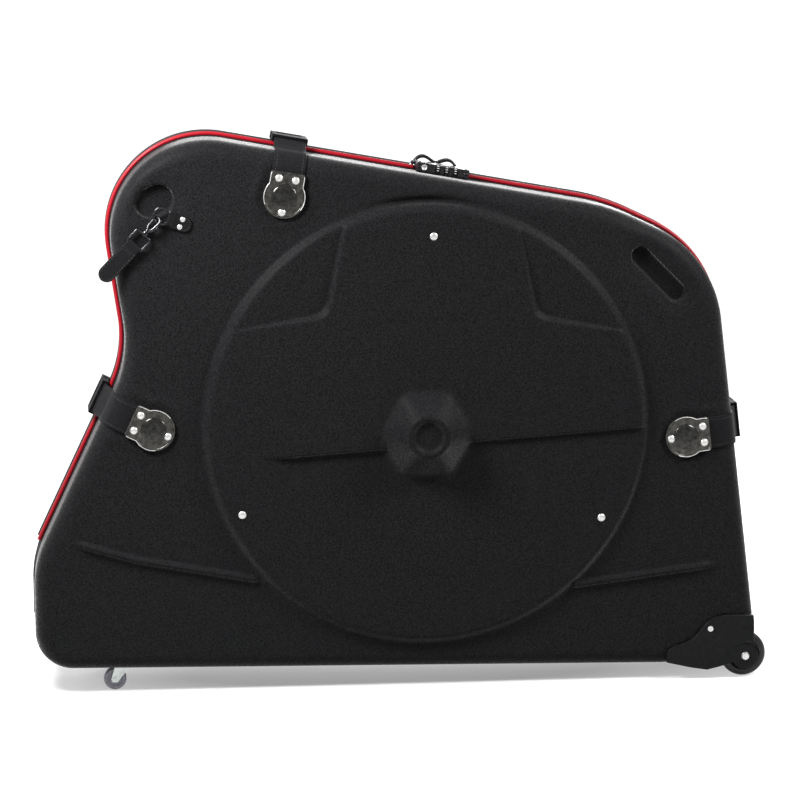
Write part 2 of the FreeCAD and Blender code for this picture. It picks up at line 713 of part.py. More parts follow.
WHEEL_SCREWS = [on_disc("top_screw"), on_disc("left_screw"), on_disc("right_screw")]
TAB_ANGLE = math.radians(size("tab_angle"))
TAB_ALONG = Vector(math.cos(TAB_ANGLE), 0, math.sin(TAB_ANGLE))
TAB_ACROSS = Vector(-math.sin(TAB_ANGLE), 0, math.cos(TAB_ANGLE))
TAB_CENTRE = Vector(DISC_LEFT - size("tab_gap"), 0, DISC_TOP - size("tab_drop"))
RING_Y = FACE_Y - size("ring_lift")
RING_CENTRE = TAB_CENTRE + TAB_ALONG * size("ring_offset") + Vector(0, RING_Y, 0)
TAB_RIVETS = [TAB_CENTRE - TAB_ALONG * size("tab_rivet_back") + TAB_ACROSS * side
              * size("tab_rivet_pitch") / 2
              for side in (1, -1)]
TAB_TOP_Y = STRAP_Y - size("tab_thickness")
TAB_HOLE = size("tab_rivet_radius") + size("hole_gap")


def disc_floor(x, z):
    """y of the disc's outer surface at a fastener, on the tilted lower floor or on the top."""
    if z > DISC_Z or x < corner_place("step")[0]:
        return DISC_Y
    return STEP_FLOOR(x, z)


def headed_pin(at, head_radius, head_height, radius, length):
    """A fastener at a point on the outside, with a tapered head and a shank that goes in."""
    head = Part.makeCone(head_radius, head_radius * 0.65, head_height, at, Vector(0, -1, 0))
    shank = Part.makeCylinder(radius, length, at, Vector(0, 1, 0))
    return head.fuse(shank).removeSplitter()


def wheel_screw(x, z):
    at = Vector(x, disc_floor(x, z) - 0.3, z)
    return headed_pin(at, size("disc_screw_head"), size("disc_screw_height"), size("rivet_radius"),
                      size("disc_screw_length"))


def tab_rivet(point):
    at = Vector(point.x, TAB_TOP_Y - size("hole_gap"), point.z)
    length = FACE_Y + size("wall") + size("hole_gap") - at.y
    return headed_pin(at, size("tab_rivet_head"), size("tab_rivet_radius"), size("tab_rivet_radius"),
                      length)


def inner_strap(x, z):
    """A wheel strap inside the shell, held at its middle by a disc fastener."""
    angle = math.degrees(math.atan2(z - HUB_Z, x - HUB_X)) + 90
    y = disc_floor(x, z) + size("wall") + size("inner_strap_gap")
    half = size("inner_strap_length") / 2
    wide = size("inner_strap_width") / 2
    body = box_between(-half, half, 0, size("inner_strap_thickness"), -wide, wide)
    body = body.cut(drill([(0, 0)], HOLE, -1, size("inner_strap_thickness") + 1))
    return placed(body, FreeCAD.Placement(Vector(x, y, z), FreeCAD.Rotation(Vector(0, 1, 0), -angle)))


def ring_tab():
    half = size("tab_width") / 2
    start, end = -size("tab_length") / 2, size("ring_offset") - size("ring_radius")
    roll = size("ring_wire") + 2
    flat = box_between(start, end, -size("tab_thickness"), 0, -half, half)
    rise = STRAP_Y - RING_Y
    block = box_between(end - roll, end + roll - 0.5, -rise, 0, -half, half)
    barrel = Part.makeCylinder(roll, size("tab_width"), Vector(end, -rise, -half))
    body = flat.fuse([block, barrel])
    pitch = size("tab_rivet_pitch") / 2
    back = -size("tab_rivet_back")
    body = body.cut(drill([(back, -pitch), (back, pitch)], TAB_HOLE, -BEYOND, BEYOND))
    turn = FreeCAD.Rotation(Vector(0, 1, 0), -size("tab_angle"))
    body = placed(body, FreeCAD.Placement(TAB_CENTRE + Vector(0, STRAP_Y, 0), turn))
    return body.cut(Part.makeTorus(size("ring_radius"), size("ring_wire") + 0.3, RING_CENTRE,
                                   Vector(0, 1, 0)))


# Hook and tow strap, built along local x from the ring's centre

HOOK_PLACE = FreeCAD.Placement(RING_CENTRE, FreeCAD.Rotation(Vector(0, 1, 0), -size("hook_angle")))


def snap_hook():
    eye_at = size("ring_radius")
    eye = Part.makeTorus(4.8, 2, Vector(eye_at, 0, 0), Vector(0, 0, 1))
    shank = Part.makeCone(3.6, 4.6, 20, Vector(eye_at + 5.6, 0, 0), Vector(1, 0, 0))
    collar_at = eye_at + 25.6
    collar = Part.makeCylinder(5.4, 4, Vector(collar_at, 0, 0), Vector(1, 0, 0))
    thumb = Part.makeCylinder(2.2, 6, Vector(eye_at + 14, 0, 2), Vector(0, 0, 1))
    loop_at = collar_at + 4
    half = size("swivel_width") / 2
    frame = box_between(loop_at - 0.5, loop_at + size("swivel_length"), -2, 2, -half, half)
    frame = frame.cut(box_between(loop_at + 4, loop_at + size("swivel_length") - 4, -3, 3, 4 - half,
                                  half - 4))
    return eye.fuse([shank, collar, thumb, frame]).removeSplitter()


def swivel_end():
    return size("ring_radius") + 29.6 + size("swivel_length")


def tow_strap():
    """Doubled leather from the swivel's bar to a rounded end."""
    bar = swivel_end() - 2
    end = bar + size("tow_length")
    half = size("tow_width") / 2
    thick = size("tow_thickness") / 2
    body = box_between(bar, end, -thick, thick, -half, half)
    body = body.fuse(Part.makeCylinder(half, 2 * thick, Vector(end, -thick, 0), Vector(0, 1, 0)))
    loop_half = size("swivel_width") / 2 - 4 - 0.4
    roll = Part.makeCylinder(4.6, 2 * loop_half, Vector(bar, 0, -loop_half))
    body = body.fuse(roll)
    bar_hole = box_between(bar - 2.3, bar + 2.3, -2.3, 2.3, -30, 30)
    body = body.cut(bar_hole)
    neck = bar + 8
    for side in (-1, 1):
        z0, z1 = sorted((side * loop_half, side * 40))
        body = body.cut(box_between(bar - 10, neck, -10, 10, z0, z1))
    return sorted(body.Solids, key=lambda s: s.Volume)[-1]


# Lock and zip sliders, in a frame on the top edge

LOCK_PLACE = foot_at("crown", "shoulder", 0, DISC_X + size("lock_offset"))
LOCK_TOP = size("lock_lift") + size("lock_height")
DIAL_Y = -size("lock_front") + size("dial_sink")
DIAL_Z = size("lock_lift") + size("lock_height") / 2
DIALS = [size("dial_pitch") * (k - 1) + size("dial_shift") for k in range(3)]
BUTTON_X = size("button_x")


def lock_block(grow):
    half = size("lock_length") / 2 + grow
    front, back = -size("lock_front"), size("lock_depth") - size("lock_front")
    tape_edge = RIM_Y - size("tape_width") - 2
    body = box_between(-half, half, front - grow, back + grow, size("lock_lift") - grow, LOCK_TOP + grow)
    return body, box_between(-half, half, front - grow, tape_edge, size("lay_gap"), LOCK_TOP)


def lock_body():
    upper, lower = lock_block(0)
    body = upper.fuse(lower).removeSplitter()
    body = body.makeFillet(size("lock_edge"), crest_edges(body, LOCK_TOP))
    slot = size("dial_width") / 2 + size("dial_gap")
    reach = size("dial_radius") + size("dial_gap")
    for x in DIALS:
        body = body.cut(box_between(x - slot, x + slot, -size("lock_front") - 1, DIAL_Y + reach,
                                    DIAL_Z - reach, DIAL_Z + reach))
    end = size("dial_width")
    shaft = Part.makeCylinder(size("dial_shaft"), DIALS[2] - DIALS[0] + 2 * end,
                              Vector(DIALS[0] - end, DIAL_Y, DIAL_Z), Vector(1, 0, 0))
    bore = drill([(BUTTON_X, DIAL_Z)], size("button_radius") + size("button_gap"),
                 -size("lock_front") - 1, size("button_length") - size("lock_front") + 1)
    return body.fuse(shaft).cut(bore).removeSplitter()


def lock_dial(x):
    body = Part.makeCylinder(size("dial_radius"), size("dial_width"),
                             Vector(x - size("dial_width") / 2, DIAL_Y, DIAL_Z), Vector(1, 0, 0))
    bore = Part.makeCylinder(size("dial_shaft") + size("dial_gap"), BEYOND,
                             Vector(x - BEYOND / 2, DIAL_Y, DIAL_Z), Vector(1, 0, 0))
    return body.cut(bore)


def lock_button():
    face = -size("lock_front") - size("button_proud")
    return Part.makeCylinder(size("button_radius"), size("button_length"), Vector(BUTTON_X, face, DIAL_Z),
                             Vector(0, 1, 0))


SLIDER_LOW = size("chain_height") + size("joint_gap")
SLIDER_TOP = SLIDER_LOW + size("slider_height")
PIN_Z = SLIDER_TOP + size("pin_rise")


LUG_HALF = 2


def slider_x(side):
    return size("left_slider_x") if side < 0 else size("right_slider_x")


def zip_slider(side):
    x = slider_x(side)
    half = size("slider_length") / 2
    wide = size("slider_width") / 2
    flat = size("slider_flat") / 2
    end_top = SLIDER_LOW + size("slider_end")
    plate = prism([(x - half, SLIDER_LOW), (x - half, end_top), (x - flat, SLIDER_TOP),
                   (x + flat, SLIDER_TOP),
                   (x + half, end_top), (x + half, SLIDER_LOW)], -wide, wide)
    lug = box_between(x - LUG_HALF, x + LUG_HALF, -LUG_HALF, LUG_HALF, SLIDER_TOP - 1, PIN_Z + LUG_HALF)
    pin = Part.makeCylinder(size("pin_radius"), size("pull_width") + 2,
                            Vector(x, -size("pull_width") / 2 - 1, PIN_Z),
                            Vector(0, 1, 0))
    return plate.fuse([lug, pin]).removeSplitter()


# The pull's arch, measured from its pin, and the two ends of its window
PULL_WINDOW = (11, 26)
PULL_PATH = [(0, 0), (3.5, 5.5), (8.5, 10.5), (15, 13), (22.5, 11.5), (28.5, 8), (32, 6.8)]


def zip_pull(side):
    """An arched pull that reaches from its slider over the top of the lock."""
    x = slider_x(side)
    path = [(x - side * px, PIN_Z + pz) for px, pz in PULL_PATH]
    outline = thick_path(path, size("pull_thickness"))
    front, wide = -size("pull_front"), size("pull_width") / 2
    body = prism(outline, front, wide)
    ear = size("pin_radius") + size("joint_gap") + 1.3
    body = body.fuse(Part.makeCylinder(ear, 2 * wide, Vector(x, -wide, PIN_Z), Vector(0, 1, 0)))
    fork = LUG_HALF + size("joint_gap")
    reach = 3 * LUG_HALF
    body = body.cut(box_between(x - reach, x + reach, -fork, fork, PIN_Z - reach, PIN_Z + reach + 1))
    body = body.cut(box_between(x - reach, x + reach, front - 1, -wide, PIN_Z - reach, PIN_Z + reach + 1))
    window = sorted((x - side * PULL_WINDOW[0], x - side * PULL_WINDOW[1]))
    rail = 4
    body = body.cut(box_between(window[0], window[1], front + rail, wide - rail, PIN_Z, PIN_Z + BEYOND))
    return body.cut(drill([(x, PIN_Z)], size("pin_radius") + size("joint_gap"), front, wide + 1))


# Zip tape, piping and hinge band

def below(z):
    """A block that takes away everything under a height."""
    left, right = CORNERS["low_left"][0] - BEYOND, CORNERS["low_right"][0] + BEYOND
    return box_between(left, right, FACE_Y, BEYOND, -BEYOND, z)


def zip_tape():
    gap = size("lay_gap")
    thick = size("tape_thickness")
    end_y = -size("half_gap")
    tape = outline_band(-gap, -gap - thick, RIM_Y - size("tape_width"), end_y)
    chain = outline_band(-gap, -size("chain_height"), end_y - size("chain_width"), end_y)
    body = tape.fuse(chain)
    return body.cut(below(size("zip_end_z"))).removeSplitter()


def piping():
    """A cord laid on the tape along the rim, cut out under the lock."""
    radius = size("piping_radius")
    inset = -(3 * size("lay_gap") + size("tape_thickness") + radius)
    y = RIM_Y - radius - 1
    spine = outline_wire(inset, y)
    start = spine.Edges[1]
    first = start.valueAt(start.FirstParameter)
    circle = Part.Wire(Part.makeCircle(radius, first, start.tangentAt(start.FirstParameter)))
    body = spine.makePipeShell([circle], True, False)
    body = body.cut(below(size("piping_end_z")))
    block = lock_block(size("button_gap"))[0]
    return body.cut(placed(block, LOCK_PLACE))


BOTTOM_PLACE = foot("low_right", "low_left", 0.5)


def hinge_leaf():
    """One leaf of the fabric hinge under the bottom edge; local x runs to the left, local z downwards."""
    half = (CORNERS["low_right"][0] - CORNERS["low_left"][0]) / 2
    return box_between(size("band_right_gap") - half, half - size("band_left_gap"), -size("band_width"),
                       -size("half_gap"), size("lay_gap"),
                       size("lay_gap") + size("band_thickness"))


# Fixed wheel and housing

def turned(points, base):
    """A ring turned about the wheel's axle from (radius, offset) points."""
    wire = Part.makePolygon([Vector(r, y, 0) for r, y in points + points[:1]])
    solid = Part.Face(wire).revolve(Vector(0, 0, 0), Vector(0, 1, 0), 360)
    return placed(solid, FreeCAD.Placement(base, FreeCAD.Rotation()))


def wheel_tyre():
    half = size("wheel_width") / 2
    r, core = size("wheel_radius"), size("wheel_core") + 0.05
    return turned([(core, -half + 2), (core + 3, -half), (r - 6, -half + 1), (r - 2, -half + 4),
                   (r, -half + 8),
                   (r, half - 8), (r - 2, half - 4), (r - 6, half - 1), (core + 3, half),
                   (core, half - 2)], WHEEL)


def wheel_hub():
    half = size("wheel_width") / 2 - 1.5
    bore = size("wheel_hub") - 0.15
    body = turned([(bore, -half), (bore + 3, -half), (bore + 4, -half + 3),
                   (size("wheel_core") - 4, -half + 3),
                   (size("wheel_core") - 3, -half), (size("wheel_core"), -half), (size("wheel_core"), half),
                   (size("wheel_core") - 3, half), (size("wheel_core") - 4, half - 3), (bore + 4, half - 3),
                   (bore + 3, half), (bore, half)], WHEEL)
    tools = []
    for k in range(6):
        angle = math.radians(60 * k)
        at = WHEEL + Vector(size("spoke_circle") * math.cos(angle), -30,
                            size("spoke_circle") * math.sin(angle))
        tools.append(Part.makeCylinder(size("spoke_hole"), 60, at, Vector(0, 1, 0)))
    return body.cut(tools)


def wheel_bearings():
    half = size("wheel_width") / 2 - 1.5
    out, bore = size("wheel_hub") - 0.2, size("axle_radius") + 0.05
    width = size("bearing_width")
    rings = []
    for y0 in (-half, half - width):
        rings.append(turned([(bore, y0), (out, y0), (out, y0 + width), (bore, y0 + width)], WHEEL))
    return Part.makeCompound(rings)


def housing_profile():
    boss = size("axle_boss")
    arc = []
    for k in range(9):
        angle = math.radians(50 - 190 * k / 8)
        arc.append((WHEEL.x + boss * math.cos(angle), WHEEL.z + boss * math.sin(angle)))
    return HOUSING_EDGE + HOUSING_END + arc + HOUSING_LOW


def wheel_housing():
    front, back = -size("housing_front"), -size("housing_back")
    body = prism(housing_profile(), front, back)
    side, guard = size("well_side"), size("guard")
    well = Part.makeCylinder(size("wheel_radius") + size("well_gap"), back - front - 2 * side - guard,
                             Vector(WHEEL.x, front + side, WHEEL.z), Vector(0, 1, 0))
    corner = offset_corners(outline_corners(), size("lay_gap"))
    plate = Part.Face(rounded_wire(corner, lambda x, z: back - guard)).extrude(Vector(0, guard, 0))
    start = HOUSING_EDGE[0][0] + HOUSING_GAP
    right, top = WHEEL.x + BEYOND, HOUSING_EDGE[-1][1]
    area = [(x + HOUSING_GAP, z) for x, z in HOUSING_EDGE] + [(right, top), (right, -BEYOND),
                                                              (start, -BEYOND)]
    plate = plate.common(prism(area, back - guard - 1, back + 1))
    body = body.cut(well).fuse(plate)
    gap = size("hole_gap")
    holes = drill([(WHEEL.x, WHEEL.z)], size("axle_radius") + gap, front - 1, back + 1)
    holes += drill(HOUSING_SCREWS, size("screw_radius") + gap, front - 1, front + size("housing_screw") + 1)
    body = body.cut(holes)
    return sorted(body.removeSplitter().Solids, key=lambda s: s.Volume)[-1]


def wheel_axle():
    front, back = -size("housing_front"), -size("housing_back")
    shaft = Part.makeCylinder(size("axle_radius"), back - front, Vector(WHEEL.x, front - 0.5, WHEEL.z),
                              Vector(0, 1, 0))
    head = Part.makeCone(7, 5.5, 3, Vector(WHEEL.x, front - 0.1, WHEEL.z), Vector(0, -1, 0))
    return shaft.fuse(head).removeSplitter()


# Castor, in a frame with its origin under the swivel at the pad's height

CASTOR_PLACE = FreeCAD.Placement(CASTOR, FreeCAD.Rotation())
PLATE_LOW = -size("lay_gap") - size("castor_plate_thickness")
RACE_LOW = PLATE_LOW - size("castor_race_height")
FORK_TOP = RACE_LOW - size("joint_gap")
CASTOR_AXLE = Vector(-size("castor_trail"), 0, size("castor_wheel_radius") - size("castor_pad_z"))
CASTOR_SCREWS = [(sx * size("screw_pitch") / 2, sy * size("screw_pitch") / 2) for sx in (-1, 1)
                 for sy in (-1, 1)]
SCREW_HOLE = size("screw_radius") + size("hole_gap")


def castor_plate():
    half = size("castor_plate") / 2
    plate = box_between(-half, half, -half, half, PLATE_LOW, -size("lay_gap"))
    plate = plate.makeFillet(size("screw_head"), upright_edges(plate))
    race = Part.makeCone(size("castor_race"), size("castor_race") - 1.5, size("castor_race_height"),
                         Vector(0, 0, PLATE_LOW),
                         Vector(0, 0, -1))
    floor = FORK_TOP - size("castor_sheet") - size("joint_gap")
    pin = Part.makeCylinder(size("kingpin_radius"), PLATE_LOW - floor, Vector(0, 0, floor))
    head = Part.makeCylinder(size("kingpin_head"), 1.6, Vector(0, 0, floor - 1.6))
    holes = [Part.makeCylinder(SCREW_HOLE, 2 * BEYOND, Vector(x, y, -BEYOND)) for x, y in CASTOR_SCREWS]
    return plate.fuse([race, pin, head]).cut(holes).removeSplitter()


def castor_fork():
    sheet = size("castor_sheet")
    inner = size("castor_inner_width") / 2
    crown = Part.makeCylinder(size("castor_race") - 0.5, sheet, Vector(0, 0, FORK_TOP - sheet))
    bore = Part.makeCylinder(size("kingpin_radius") + size("joint_gap"), 20, Vector(0, 0, FORK_TOP - 10))
    crown = crown.cut(bore)
    legs = []
    ax, az = CASTOR_AXLE.x, CASTOR_AXLE.z
    reach = size("castor_race") - 2.5
    for side in (-1, 1):
        y0 = side * inner if side > 0 else -inner - sheet
        outline = [(-reach, FORK_TOP), (reach, FORK_TOP), (ax + 7, az - 1), (ax + 4, az - 5),
                   (ax - 4, az - 5),
                   (ax - 6.5, az)]
        wire = Part.makePolygon([Vector(x, y0, z) for x, z in outline + outline[:1]])
        leg = Part.Face(wire).extrude(Vector(0, sheet, 0))
        legs.append(leg)
    axle = Part.makeCylinder(size("castor_axle_radius"), 2 * inner + 2 * sheet + 3,
                             CASTOR_AXLE - Vector(0, inner + sheet + 1.5, 0), Vector(0, 1, 0))
    return crown.fuse(legs + [axle]).removeSplitter()


def castor_wheel():
    half = size("castor_wheel_width") / 2
    r = size("castor_wheel_radius")
    bore = size("castor_axle_radius") + size("joint_gap")
    ring = turned([(bore, -half - 0.6), (bore + 3, -half - 0.6), (bore + 4, -half + 1.5),
                   (r - 6, -half + 1.5),
                   (r - 4.5, -half), (r - 1.2, -half + 0.6), (r, -half + 3), (r, half - 3),
                   (r - 1.2, half - 0.6),
                   (r - 4.5, half), (r - 6, half - 1.5), (bore + 4, half - 1.5), (bore + 3, half + 0.6),
                   (bore, half + 0.6)], CASTOR_AXLE)
    return ring


def base_screws():
    """Screws of the castor plate and of the wheel housing."""
    gap = size("hole_gap")
    r, head_r, head_h = size("screw_radius"), size("screw_head"), size("screw_head_height")
    solids = []
    for x, y in CASTOR_SCREWS:
        at = CASTOR + Vector(x, y, PLATE_LOW - gap)
        head = Part.makeCone(head_r, head_r * 0.7, head_h, at, Vector(0, 0, -1))
        shank = Part.makeCylinder(r, size("castor_plate_thickness") + size("wall") + 2,
                                  at - Vector(0, 0, 0.2))
        solids.append(head.fuse(shank).removeSplitter())
    front = -size("housing_front")
    for x, z in HOUSING_SCREWS:
        head = Part.makeCone(head_r + 0.6, head_r * 0.7, head_h, Vector(x, front - gap, z),
                             Vector(0, -1, 0))
        shank = Part.makeCylinder(r, size("housing_screw"), Vector(x, front - gap, z), Vector(0, 1, 0))
        solids.append(head.fuse(shank).removeSplitter())
    return Part.makeCompound(solids)


# Assembly: every front piece, then its mirror image or its own rear form

def shell_holes():
    tools = []
    for placement, back_name in SETS.values():
        for tool in drill(rivet_places(size(back_name)), HOLE, HUB_Y, 0):
            tools.append(placed(tool, placement))
    for x, z in WHEEL_SCREWS:
        tools += drill([(x, z)], HOLE, HUB_Y, 0)
    for point in TAB_RIVETS:
        tools += drill([(point.x, point.z)], TAB_HOLE, HUB_Y, 0)
    for x, y in CASTOR_SCREWS:
        tools.append(Part.makeCylinder(SCREW_HOLE, BEYOND, CASTOR + Vector(x, y, -BEYOND / 2)))
    return tools


def front_rivets():
    solids = []
    for placement, back_name in SETS.values():
        for x, z in rivet_places(size(back_name)):
            solids.append(placed(rivet(x, z), placement))
    solids += [wheel_screw(x, z) for x, z in WHEEL_SCREWS]
    solids += [tab_rivet(point) for point in TAB_RIVETS]
    return Part.makeCompound(solids)


def ring_item(label):
    item = doc.addObject("Part::Torus", label)
    bind(item, Radius1="sizes.ring_radius", Radius2="sizes.ring_wire")
    item.Placement = FreeCAD.Placement(RING_CENTRE, FreeCAD.Rotation(Vector(0, 0, 1), Vector(0, 1, 0)))
    return item


nodes = []


def keep(item):
    nodes.append(item)
    return item


def pair(name, front):
    """Keeps a front piece and its mirror image on the rear half."""
    keep(named(front, "front_" + name))
    keep(named(mirrored("rear_" + name, front), "rear_" + name))


pair("shell", shape_item("front_shell", shell_shape(shell_holes())))
pair("piping", shape_item("front_piping", piping()))
pair("zip_tape", shape_item("front_zip_tape", zip_tape()))
for set_name, (placement, back_name) in SETS.items():
    pair(set_name + "_plate", strap_plate("front_" + set_name + "_plate", placement, size(back_name)))
    keep(shape_item(set_name + "_buckle_tongue", buckle_tongue(), placement))
    keep(shape_item(set_name + "_buckle_socket", buckle_socket(), placement))
keep(shape_item("front_straps", Part.makeCompound([placed(front_strap(size(b)), p) for p,
                                                   b in SETS.values()])))
keep(shape_item("rear_straps", Part.makeCompound([placed(rear_strap(size(b)), p) for p,
                                                  b in SETS.values()])))
pair("rivets", shape_item("front_rivets", front_rivets()))
pair("wheel_straps", shape_item("front_wheel_straps",
                                Part.makeCompound([inner_strap(x, z) for x, z in WHEEL_SCREWS])))
pair("hinge_leaf", shape_item("front_hinge_leaf", hinge_leaf(), BOTTOM_PLACE))
pair("wheel_housing", shape_item("front_wheel_housing", wheel_housing()))
pair("wheel_tyre", shape_item("front_wheel_tyre", wheel_tyre()))
pair("wheel_hub", shape_item("front_wheel_hub", wheel_hub()))
pair("wheel_bearings", shape_item("front_wheel_bearings", wheel_bearings()))
pair("wheel_axle", shape_item("front_wheel_axle", wheel_axle()))
pair("castor_plate", shape_item("front_castor_plate", castor_plate(), CASTOR_PLACE))
pair("castor_fork", shape_item("front_castor_fork", castor_fork(), CASTOR_PLACE))
pair("castor_wheel", shape_item("front_castor_wheel", castor_wheel(), CASTOR_PLACE))
pair("base_screws", shape_item("front_base_screws", base_screws()))
pair("ring_tab", shape_item("front_ring_tab", ring_tab()))
pair("ring", ring_item("front_ring"))
keep(shape_item("snap_hook", snap_hook(), HOOK_PLACE))
keep(shape_item("tow_strap", tow_strap(), HOOK_PLACE))
keep(shape_item("lock_body", lock_body(), LOCK_PLACE))
for number, x in enumerate(DIALS, start=1):
    keep(shape_item("lock_dial_%d" % number, lock_dial(x), LOCK_PLACE))
keep(shape_item("lock_button", lock_button(), LOCK_PLACE))
for side, name in ((-1, "left"), (1, "right")):
    keep(shape_item(name + "_zip_slider", zip_slider(side), LOCK_PLACE))
    keep(shape_item(name + "_zip_pull", zip_pull(side), LOCK_PLACE))

doc.recompute()
for item in doc.Objects:
    if "Invalid" in item.State or "Error" in item.State:
        raise RuntimeError("%s did not build: %s" % (item.Label, item.State))
for item in nodes:
    if item.Shape.isNull() or not item.Shape.isValid() or not item.Shape.Solids:
        raise RuntimeError("%s has no valid solid" % item.Label)

os.makedirs("parts", exist_ok=True)
for item in nodes:
    item.Shape.exportStep(os.path.join("parts", item.Label + ".step"))
print("%d sub-parts written" % len(nodes))
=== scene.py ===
import json
import math

import bmesh
import bpy
import numpy as np
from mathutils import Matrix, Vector
from mathutils.geometry import delaunay_2d_cdt
from mathutils.kdtree import KDTree

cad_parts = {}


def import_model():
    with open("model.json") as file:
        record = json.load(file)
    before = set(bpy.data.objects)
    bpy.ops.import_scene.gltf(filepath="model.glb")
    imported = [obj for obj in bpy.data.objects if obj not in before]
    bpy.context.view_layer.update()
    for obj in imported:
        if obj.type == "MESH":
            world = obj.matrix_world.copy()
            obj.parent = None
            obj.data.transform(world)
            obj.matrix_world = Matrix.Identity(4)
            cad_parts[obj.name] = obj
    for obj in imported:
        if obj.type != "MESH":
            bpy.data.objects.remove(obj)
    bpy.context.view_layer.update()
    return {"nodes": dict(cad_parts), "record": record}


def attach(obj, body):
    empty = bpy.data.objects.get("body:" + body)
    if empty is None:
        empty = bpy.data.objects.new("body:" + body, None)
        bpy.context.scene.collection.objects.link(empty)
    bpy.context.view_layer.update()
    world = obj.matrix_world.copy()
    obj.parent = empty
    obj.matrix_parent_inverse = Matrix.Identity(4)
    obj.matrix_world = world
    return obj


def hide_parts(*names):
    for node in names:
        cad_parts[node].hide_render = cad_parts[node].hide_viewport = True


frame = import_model()
nodes = frame["nodes"]

# Sizes are in millimetres and are turned into metres where a mesh is made.
# X runs along the case, the front half is on the -Y side of the parting plane, Z is up from the floor.
MM = 0.001
HALVES = {"front": -1, "rear": 1}

# Outline on the parting plane, clockwise as seen from the front: corner x, z and radius
OUTLINE = [(-599, 41, 62), (-599, 214, 170), (-440, 548, 200), (-497.4, 935.3, 155),
           (338, 786, 350), (511.5, 704, 190), (596, 20.5, 45)]
LOW_LEFT, TOE, WAIST, CROWN, SHOULDER, TAIL, LOW_RIGHT = range(7)

# Moulded shell: depths are distances from the parting plane
WALL = 5
RIM_DEPTH = 13
FACE_DEPTH = 105
EDGE_RADIUS = 28
DISC_X, DISC_Z = 37, 436
DISC_RADIUS, DISC_SLOPE, DISC_RISE = 363, 13, 13
DISC_DEPTH = FACE_DEPTH + DISC_RISE
HUB_X, HUB_Z = 36, 425.5
HUB_RADIUS, HUB_TOP_RADIUS, HUB_RISE = 77, 40, 36
HUB_DEPTH = DISC_DEPTH + HUB_RISE
CAP_RADIUS, CAP_RISE = 36, 4
DISH_RADIUS, DISH_SINK = 24, 6

# Zip, piping and hinge band
TAPE_THICKNESS, TAPE_WIDTH = 1.2, 11
LAY_GAP = 0.1
HALF_GAP = 0.4
CHAIN_WIDTH, CHAIN_HEIGHT = 3.2, 3.2
ZIP_END_Z = 112
PIPING_RADIUS = 3.2
PIPING_DEPTH = RIM_DEPTH + PIPING_RADIUS + 1
PIPING_OFFSET = 2 * LAY_GAP + TAPE_THICKNESS + PIPING_RADIUS
PIPING_END_Z = 240

# Closing straps: strap, plate, boss and the rivets' places on a plate
STRAP_WIDTH, STRAP_THICKNESS = 52, 3
PLATE_RADIUS, PLATE_NECK, PLATE_REACH, PLATE_THICKNESS = 34, 56, 40, 3
BOSS_RADIUS, BOSS_HEIGHT = 21.5, 4.5
RIVET_PITCH, RIVET_REACH, RIVET_BACK = 27, 29, 24.5
STRAP_DEPTH = FACE_DEPTH + LAY_GAP
PLATE_DEPTH = STRAP_DEPTH + STRAP_THICKNESS + LAY_GAP
PLATE_TOP = PLATE_DEPTH + PLATE_THICKNESS

# Wheel housing at the lower right corner: depths, upper edge from left to right, and its lap over the shell
HOUSING_FRONT, HOUSING_BACK = 111, 58
HOUSING_EDGE = [(437, 30), (437.4, 40), (438, 47), (440, 50.5), (443, 53), (447, 55.6), (452, 58),
                (460, 60.3), (469, 63), (477, 67), (484, 72.5), (490.5, 79.8), (496, 87.5), (500.4, 92.9),
                (505, 97.5), (511, 101.6), (518, 104.5), (525, 106.6), (533, 108), (550, 108.2),
                (566, 108), (582, 107)]
HOUSING_LAP = 4


# Outline geometry

def side_frame(first, second, axis, value):
    """A frame on a straight side: its base point, the direction along the side and the outward normal."""
    a = np.array(OUTLINE[first][:2], float)
    b = np.array(OUTLINE[second][:2], float)
    share = (value - a[axis]) / (b[axis] - a[axis])
    along = (b - a) / np.linalg.norm(b - a)
    return a + (b - a) * share, along, np.array([-along[1], along[0]])


# Closing straps: the place of each on its side of the outline, and how far its round plate lies from the edge
SETS = {
    "top": (side_frame(CROWN, SHOULDER, 0, -179), 70),
    "left": (side_frame(TOE, WAIST, 1, 472), 81),
    "right": (side_frame(TAIL, LOW_RIGHT, 1, 420), 84),
}


def offset_corners(outset):
    """The outline's corners with every side moved outwards; convex radii grow and the hollow one shrinks."""
    count = len(OUTLINE)
    lines = []
    for i in range(count):
        a = np.array(OUTLINE[i][:2], float)
        b = np.array(OUTLINE[(i + 1) % count][:2], float)
        along = (b - a) / np.linalg.norm(b - a)
        lines.append((a + outset * np.array([-along[1], along[0]]), along))
    corners = []
    for i in range(count):
        (p, u), (q, v) = lines[i - 1], lines[i]
        cross = u[0] * v[1] - u[1] * v[0]
        t = ((q[0] - p[0]) * v[1] - (q[1] - p[1]) * v[0]) / cross
        radius = OUTLINE[i][2] + (outset if cross < 0 else -outset)
        corners.append((p + u * t, max(radius, 0.5)))
    return corners


